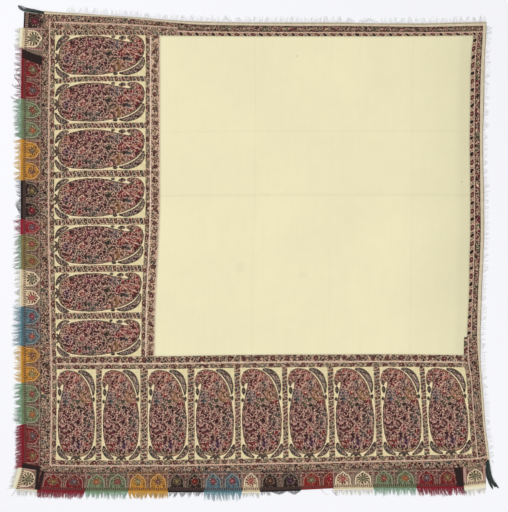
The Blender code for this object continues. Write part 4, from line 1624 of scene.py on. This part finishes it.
def add_fringe(gate, upright, thickness, rng):
    """A gate panel's fringe: its woven heading and hundreds of loose threads."""
    name = f"{gate.name}_fringe_{'left' if upright else 'low'}"
    heap = Heap()
    fringe = THICK_FRINGES.get(gate.name, FRINGES[gate.dye])
    colours = [DYES[colour] for colour in fringe.dyes]
    wide = gate.heading if gate.dye == "white" else NARROW_HEADING
    box = (-wide, 0, gate.start, gate.end) if upright else (gate.start, gate.end, -wide, 0)
    inner, outer = DYES[fringe.root], (np.array(DYES[fringe.root]) + colours[0]) / 2
    add_heading(heap, box, upright, thickness - HEADING_SLACK, inner, outer)
    pitch = FRINGE_PITCH / fringe.density
    roots = edge_roots(upright, -wide + ROOT_INSET, gate.start + 1, gate.end - 1, pitch, rng)
    out = (-1, 0) if upright else (0, -1)
    reach = gate.length + gate.heading - wide + ROOT_INSET
    paths = ravelled(roots, out, reach, gate.lean, FRINGE_SPREAD, rng)
    tints = thread_tints(colours, len(roots), rng)
    add_threads(heap, paths, THREAD_RADIUS, tints, fringe.fade, outer)
    add_loose_threads(heap, LOOSE_THREADS.get(gate.name, ()))
    return wear(heap.build(f"{name}_threads", fibre(name)), [name])


# Corner tassels: the routes of their locks in true millimetres, and how wide each lock is along
# its route.
Tassel = namedtuple("Tassel", "name widths routes")
TASSELS = (
    Tassel(
        "tassel_top_left", (9, 11, 13, 15, 14, 4),
        (((79, 1670), (52, 1675), (30, 1679), (12, 1682), (-3, 1689), (-12, 1697)),),
    ),
    Tassel(
        "tassel_low_right", (7, 13, 13, 12, 8, 2.5),
        (
            ((1632, 106), (1635, 77), (1639, 52), (1649, 31), (1661, 17), (1671, 6)),
            ((1631, 102), (1633, 77), (1636, 52), (1645, 30), (1654, 18), (1660, 9)),
            ((1630, 98), (1630, 77), (1632, 52), (1638, 32), (1644, 16), (1650, 2)),
        ),
    ),
)
TASSEL_SEED = 71
TASSEL_THREADS = 26
TASSEL_RINGS = 12
TASSEL_THREAD = 0.75
TASSEL_REACH = (0.86, 1.0)
TASSEL_SWAY = 0.6
TASSEL_WAVES = 3
TASSEL_HEIGHT = (0.8, 1.9)
TASSEL_ROOT_RISE = 1.2


def tassel_paths(route, widths, rng):
    """Paths of the threads of one lock: they sway along its route, spread over its width."""
    stations = np.arange(len(route))
    reach = rng.uniform(*TASSEL_REACH, TASSEL_THREADS)[:, None]
    wanted = reach * np.linspace(0, len(route) - 1, TASSEL_RINGS)[None, :]
    x, y = (smooth_column(stations, column, wanted) for column in zip(*route))
    out = np.stack([np.gradient(x, axis=1), np.gradient(y, axis=1)], axis=2)
    out /= np.linalg.norm(out, axis=2, keepdims=True)
    aside = np.stack([-out[..., 1], out[..., 0]], axis=2)
    across = rng.uniform(-0.5, 0.5, TASSEL_THREADS)[:, None]
    across = across * np.interp(wanted, stations, widths)
    phase = rng.uniform(0, 6, (TASSEL_THREADS, 1))
    across = across + TASSEL_SWAY * np.sin(wanted * TASSEL_WAVES + phase)
    flat = np.stack([x, y], axis=2) + across[..., None] * aside
    height = rng.uniform(*TASSEL_HEIGHT, (TASSEL_THREADS, 1))
    height = height + TASSEL_ROOT_RISE * (1 - wanted / wanted.max())
    return np.concatenate([flat, height[..., None]], axis=2)


class SHAWL_OT_tassels(bpy.types.Operator):
    """Ties the two dark corner tassels"""

    bl_idname = "shawl.tassels"
    bl_label = "Corner tassels"

    def execute(self, context):
        rng = np.random.default_rng(TASSEL_SEED)
        colours = [DYES["spruce"], DYES["soot"], DYES["slate"]]
        for tassel in TASSELS:
            heap = Heap()
            for route in tassel.routes:
                paths = tassel_paths(route, tassel.widths, rng)
                add_threads(heap, paths, TASSEL_THREAD, thread_tints(colours, TASSEL_THREADS, rng))
            piece = heap.build(f"{tassel.name}_threads", fibre(tassel.name))
            wear(piece, [tassel.name])
        return {"FINISHED"}


# The hems: plan, which way they run, where their dark thread line lies off their middle, and how
# long their fringe is and where it starts. The top one has lost its left end's fringe.
Hem = namedtuple("Hem", "node box way line_at length start")
HEMS = rows(
    Hem,
    ("hem_top", (BORDER_LEFT, HEM_RIGHT, HEM_LOW, HEM_TOP), LEVEL, 2.4, 26, BORDER_LEFT + 86.0),
    ("hem_right", (HEM_LEFT, HEM_RIGHT, BORDER_LOW, HEM_LOW), UPRIGHT, -4.6, 24, BORDER_LOW + 1),
)
HEM_SEED = 29
HEM_PITCH = 1.5
HEM_LEAN = 2
HEM_SPREAD = 0.16
HEM_THREAD = 0.3
EVENLY_PALE = (0.97, 0.0)


class SHAWL_OT_hems(bpy.types.Operator):
    """Ravels the pale hems along the top and the right side"""

    bl_idname = "shawl.hems"
    bl_label = "Hems"

    def execute(self, context):
        thickness = context.scene.shawl_sizes.hem_thickness / MM
        rng = np.random.default_rng(HEM_SEED)
        for hem in HEMS:
            _, right, _, high = hem.box
            upright = hem.way == UPRIGHT
            cloth = Cloth(*hem.box, BORDER_CELL, [Band(*hem.box, "hem", hem.way)])
            piece = cloth.build(f"{hem.node}_cloth", thickness, {"hem": weave_hem(hem.line_at)})
            wear(piece, [hem.node])
            depth, end = (right, high) if upright else (high, right)
            roots = edge_roots(upright, depth - ROOT_INSET, hem.start, end - 1, HEM_PITCH, rng)
            out = (1, 0) if upright else (0, 1)
            paths = ravelled(roots, out, hem.length + ROOT_INSET, HEM_LEAN, HEM_SPREAD, rng)
            tints = thread_tints([DYES["wool_white"]], len(roots), rng, *EVENLY_PALE)
            heap = Heap()
            add_threads(heap, paths, HEM_THREAD, tints)
            threads = heap.build(f"{hem.node}_threads", fibre(f"{hem.node}_threads"))
            lay_sheet(hem.box, [wear(threads, [hem.node])])
        return {"FINISHED"}


ARCH_OUTLINE = (
    (-23.5, 9), (-24.5, 24), (-24, 35), (-21, 43), (-15, 50), (-7, 55), (0, 62),
    (7, 55), (15, 50), (21, 43), (24, 35), (24.5, 24), (23.5, 9), (0, 8),
)
ARCH_HALF = 33.0

# The last lower panel's arch is narrower than its room, and the lower panels are a shade darker.
NARROW_ARCH = 1.12
LOWER_SHADE = 0.92

# The plain foot below the ladder is wider on the left side, and lacks at the corner.
FOOT_LEFT = 2.0
FOOT_CORNER = -3.5

# Black strips across panels: from where to where along the row, and how much they slant.
Strip = namedtuple("Strip", "start end slant")
STRIPS = {
    "gate_left_03": Strip(1515.5, 1546, -0.22),
    "gate_left_13": Strip(72, 91, -0.06),
    "gate_low_01": Strip(66, 75, 0.12),
    "gate_low_11": Strip(1492, 1513, -0.1),
}
CORNER_STRIP = 59.0
CORNER_SLANT = 0.1
STRIP_EDGE = 2.0
FAR_OUTSIDE = -30.0
FAR_ACROSS = 100.0


def beside_strip(gate, strip):
    """The stretch of a panel that its arches stand on."""
    if strip and strip.start < gate.arches[0]:
        return strip.end, gate.end
    return gate.start, strip.start if strip else gate.end


def blackened(across, arch, ground, dark, bare):
    """Dyes places black by their share of dark, and leaves out the arches where they are bare."""
    across, arch = np.where(bare, FAR_ACROSS, across), np.where(bare, FAR_OUTSIDE, arch)
    return across, arch, ground + (np.array(DYES["soot"]) - ground) * dark[:, None]


def gate_charts(cloth, gate, upright):
    """Each arch's own directions and outline, and the dyes of its panel."""
    along, up = cloth.along.ravel(), cloth.up.ravel()
    place, depth = (up, along) if upright else (along, up)
    strip = STRIPS.get(gate.name)
    start, end = beside_strip(gate, strip)
    middles = np.array(gate.arches, float)
    edges = np.array([start, *((middles[1:] + middles[:-1]) / 2), end])
    number = np.clip(np.searchsorted(edges, place) - 1, 0, len(middles) - 1)
    half = np.maximum(middles - edges[:-1], edges[1:] - middles)
    across = (place - middles[number]) * ARCH_HALF / half[number]
    if gate.name == LAST_GATE:
        across = across * NARROW_ARCH
    if upright:
        across = -across
    corner = gate.name == CORNER_GATE
    raised = depth - (FOOT_CORNER if corner else FOOT_LEFT if upright else 0.0)
    arch = depth_within(smooth_outline(ARCH_OUTLINE), across, raised)
    ground = np.tile(DYES[GATE_GROUNDS[gate.dye]], (len(place), 1))
    ground = ground * (1.0 if upright else LOWER_SHADE)
    flowers = np.array([DYES[flower] for flower in gate.flowers])[number]
    if strip:
        moved = place - strip.slant * depth
        within = np.minimum(moved - strip.start, strip.end - moved)
        runs_on = start == gate.start and gate.end > strip.end + 1
        beyond = (moved > strip.end) & runs_on
        arch = np.where(beyond, FAR_OUTSIDE, arch)
        ground = np.where(beyond[:, None], DYES["rose"], ground)
        dark = np.clip(within / STRIP_EDGE + 0.5, 0, 1)
        across, arch, ground = blackened(across, arch, ground, dark, within > -STRIP_EDGE)
    if corner:
        past = depth + CORNER_SLANT * (place - gate.start) - CORNER_STRIP
        dark = np.clip(past / STRIP_EDGE, 0, 1)
        across, arch, ground = blackened(across, arch, ground, dark, dark > 0)
    return {"Gate": np.stack([across, raised, arch], axis=1), "Ground": ground, "Flower": flowers}


# Heights in a gate panel: its rosette's middle, its ladder's middle, and its foot's top.
ROSETTE_HEIGHT = 35.0
LADDER_HEIGHT = 8.5
FOOT_TOP = 13.0
ROSETTE_RAYS = 11.0


class GateWeave(Weave):
    """A loom for arched panels, with each panel's ground and its places in its arch."""

    def __init__(self, name):
        super().__init__(name)
        self.across, self.depth, self.arch = self.split(self.attribute("Gate"))
        self.ground = self.attribute("Ground")
        off_x, off_y, self.tone, self.other, self.edge = self.cells(self.run, self.breadth, 6.5)
        self.speck = off_x.hypot(off_y).below(1.1)
        self.row = abs(self.across).below(40.0, 1.0)

    def inside(self, reach, gap):
        """Within the arch: a rosette with rays on a flecked ground."""
        move_x, move_y = self.drift(110.0, 7.0)
        side, rise = self.across + move_x, self.depth - ROSETTE_HEIGHT + move_y
        away = side.hypot(rise)
        rays = (rise.angle(side) * ROSETTE_RAYS).cosine()
        ray = (rays - away * (1.45 / reach)).above(gap, 0.3) * away.below(reach, 1.0)
        gaps = (-rays).above(0.2, 0.3)
        return self.coats(
            self.ground,
            (self.tone.over(0.65) * 0.5, "bark"),
            (self.speck * self.other.over(0.6) * 0.4, "blush"),
            (self.speck * self.other.under(0.3) * 0.6, "bark"),
            (self.arch.line(4.6, 1.3, 0.8) * 0.35, "bark"),
            (ray * 0.88, self.attribute("Flower")),
            (ray * away.above(reach * 0.66, 1.5) * 0.75, "bark"),
            (gaps * away.line(reach * 0.92, 1.3, 0.6) * (self.other * 0.45 + 0.05), "blush"),
            (gaps * away.line(reach * 0.36, 0.8, 0.6) * 0.7, "bark"),
            (away.below(1.5, 0.6) * 0.5, "blush"),
        )

    def outside(self, framed):
        """Round the arch: dark ground with a flower in each corner, framed lightly or in teeth."""
        across, depth, row, tone = abs(self.across), self.depth, self.row, self.tone
        corner = (across - 25.0).hypot(depth - 53.0) + self.other * 4.0
        frame_line = across.line(31.2, 0.9, 0.5).most(depth.line(60.0, 0.9, 0.5))
        outer = self.coats(
            self.ground,
            (0.76, "bark"),
            (tone.over(0.6) * row * 0.4, "maroon"),
            (self.edge.below(0.6) * row * 0.12, "rose"),
            (corner.below(8.5, 0.8) * tone.over(0.3) * 0.75, "maroon"),
            (corner.line(9.6, 0.8, 0.6) * (tone * 0.5), "rose"),
            (self.speck * row * tone.over(0.5) * 0.5, "rose"),
            (frame_line * row * (tone * 0.35 + 0.1), "rose"),
        )
        if not framed:
            return outer
        teeth = self.stripes(depth + across * 0.8, 8.0, 0.55)
        return self.coats(
            outer,
            (across.above(27.0, 1.2) * row * 0.7, "pink"),
            (teeth * across.line(26.5, 2.4, 0.6) * 0.85, "maroon"),
        )

    def foot(self, ladder_share):
        """Under the arch: a ladder of dark dashes."""
        dashes = self.stripes(self.run, 6.4, 0.5)
        return self.coats(
            self.ground,
            (self.depth.line(LADDER_HEIGHT, 4.6, 0.6) * ladder_share, "pink"),
            (dashes * self.depth.line(LADDER_HEIGHT, 4.0, 0.6) * 0.85, "bark"),
            (self.tone.over(0.5) * 0.2, "bark"),
        )


def weave_gate(name, reach, gap, pale_share=0.0, ladder_share=0.12, framed=False):
    """An arched panel. reach is its rosette's radius; the lower gap is, the fuller the rays."""
    loom = GateWeave(name)
    line = loom.mix(pale_share, loom.ground, "cream_edge")
    colour = loom.coats(
        loom.outside(framed),
        (loom.arch.above(0.0), loom.inside(reach, gap)),
        (loom.arch.line(0.0, 1.0, 0.6) * 0.85, line),
        (loom.depth.below(FOOT_TOP, 0.6) * loom.row, loom.foot(ladder_share)),
    )
    return loom.finish_cloth(colour)


GATE_WEAVES = {
    "gate_left_01": "round_gate",
    **dict.fromkeys(("gate_left_02", CORNER_GATE, LAST_GATE), "tree_gate"),
}
BARE_GATE = "gate_low_08"


def gate_threads(gate, upright, thickness, rng):
    """A panel's pieces of thread: its fringes, or a few loose threads where it has none."""
    if gate.name == BARE_GATE:
        heap = Heap()
        add_loose_threads(heap, LOOSE_THREADS[gate.name])
        loose = heap.build(f"{gate.name}_threads", fibre(f"{gate.name}_threads"))
        return [wear(loose, [gate.name])]
    if not gate.length:
        return []
    fringes = [add_fringe(gate, upright, thickness, rng)]
    if gate.name == CORNER_GATE:
        low = gate._replace(start=PANELS_LEFT, end=BORDER_LEFT, **CORNER_LOW)
        fringes.append(add_fringe(low, False, thickness, rng))
    return fringes


class SHAWL_OT_gates(bpy.types.Operator):
    """Sews the row of gate panels on the left and lower sides"""

    bl_idname = "shawl.gates"
    bl_label = "Gate panels"

    def execute(self, context):
        thickness = context.scene.shawl_sizes.panel_thickness / MM
        materials = {
            "gate": weave_gate("gate", reach=14.5, gap=-0.85, pale_share=0.24),
            "round_gate": weave_gate("round_gate", reach=18.5, gap=-1.5, ladder_share=0.7),
            "white_gate": weave_gate("white_gate", reach=19.0, gap=-1.1, pale_share=0.85),
            "tree_gate": weave_gate(
                "tree_gate", reach=21.0, gap=-1.1, pale_share=0.7, ladder_share=0.3, framed=True
            ),
        }
        rng = np.random.default_rng(GATE_SEED)
        for gate in (*LEFT_GATES, *LOWER_GATES):
            upright = gate in LEFT_GATES
            if upright:
                box = (PANELS_LEFT, BORDER_LEFT, gate.start, gate.end)
            else:
                box = (gate.start, gate.end, PANELS_LOW, BORDER_LOW)
            weave = GATE_WEAVES.get(gate.name, "white_gate" if gate.dye == "white" else "gate")
            cloth = Cloth(*box, GATE_CELL, [Band(*box, weave, UPRIGHT if upright else LEVEL)])
            charts = gate_charts(cloth, gate, upright)
            piece = cloth.build(f"{gate.name}_cloth", thickness, materials, charts)
            wear(piece, [gate.name])
            lay_sheet(box, gate_threads(gate, upright, thickness, rng))
        return {"FINISHED"}


OPERATORS = (
    SHAWL_OT_stage, SHAWL_OT_field, SHAWL_OT_borders, SHAWL_OT_gates, SHAWL_OT_hems,
    SHAWL_OT_tassels,
)
GROUPS = {"shawl_sizes": ShawlSizes, "shawl_stage": StageProperties}


class SHAWL_PT_sidebar(bpy.types.Panel):
    """Lists the shawl's pieces"""

    bl_idname = "SHAWL_PT_sidebar"
    bl_label = "Shawl"
    bl_space_type = "VIEW_3D"
    bl_region_type = "UI"
    bl_category = "Shawl"

    def draw(self, context):
        for operator in OPERATORS:
            self.layout.operator(operator.bl_idname)
        for name, group in GROUPS.items():
            for field in group.__annotations__:
                self.layout.prop(getattr(context.scene, name), field)


def register():
    for group in GROUPS.values():
        bpy.utils.register_class(group)
    for item in (*OPERATORS, SHAWL_PT_sidebar):
        bpy.utils.register_class(item)
    for name, group in GROUPS.items():
        setattr(bpy.types.Scene, name, PointerProperty(type=group))


def unregister():
    for name in GROUPS:
        delattr(bpy.types.Scene, name)
    for item in (SHAWL_PT_sidebar, *OPERATORS, *GROUPS.values()):
        bpy.utils.unregister_class(item)


def main():
    register()
    bpy.ops.shawl.stage()
    bpy.ops.shawl.field()
    bpy.ops.shawl.borders()
    bpy.ops.shawl.gates()
    bpy.ops.shawl.hems()
    bpy.ops.shawl.tassels()


if __name__ == "__main__":
    main()
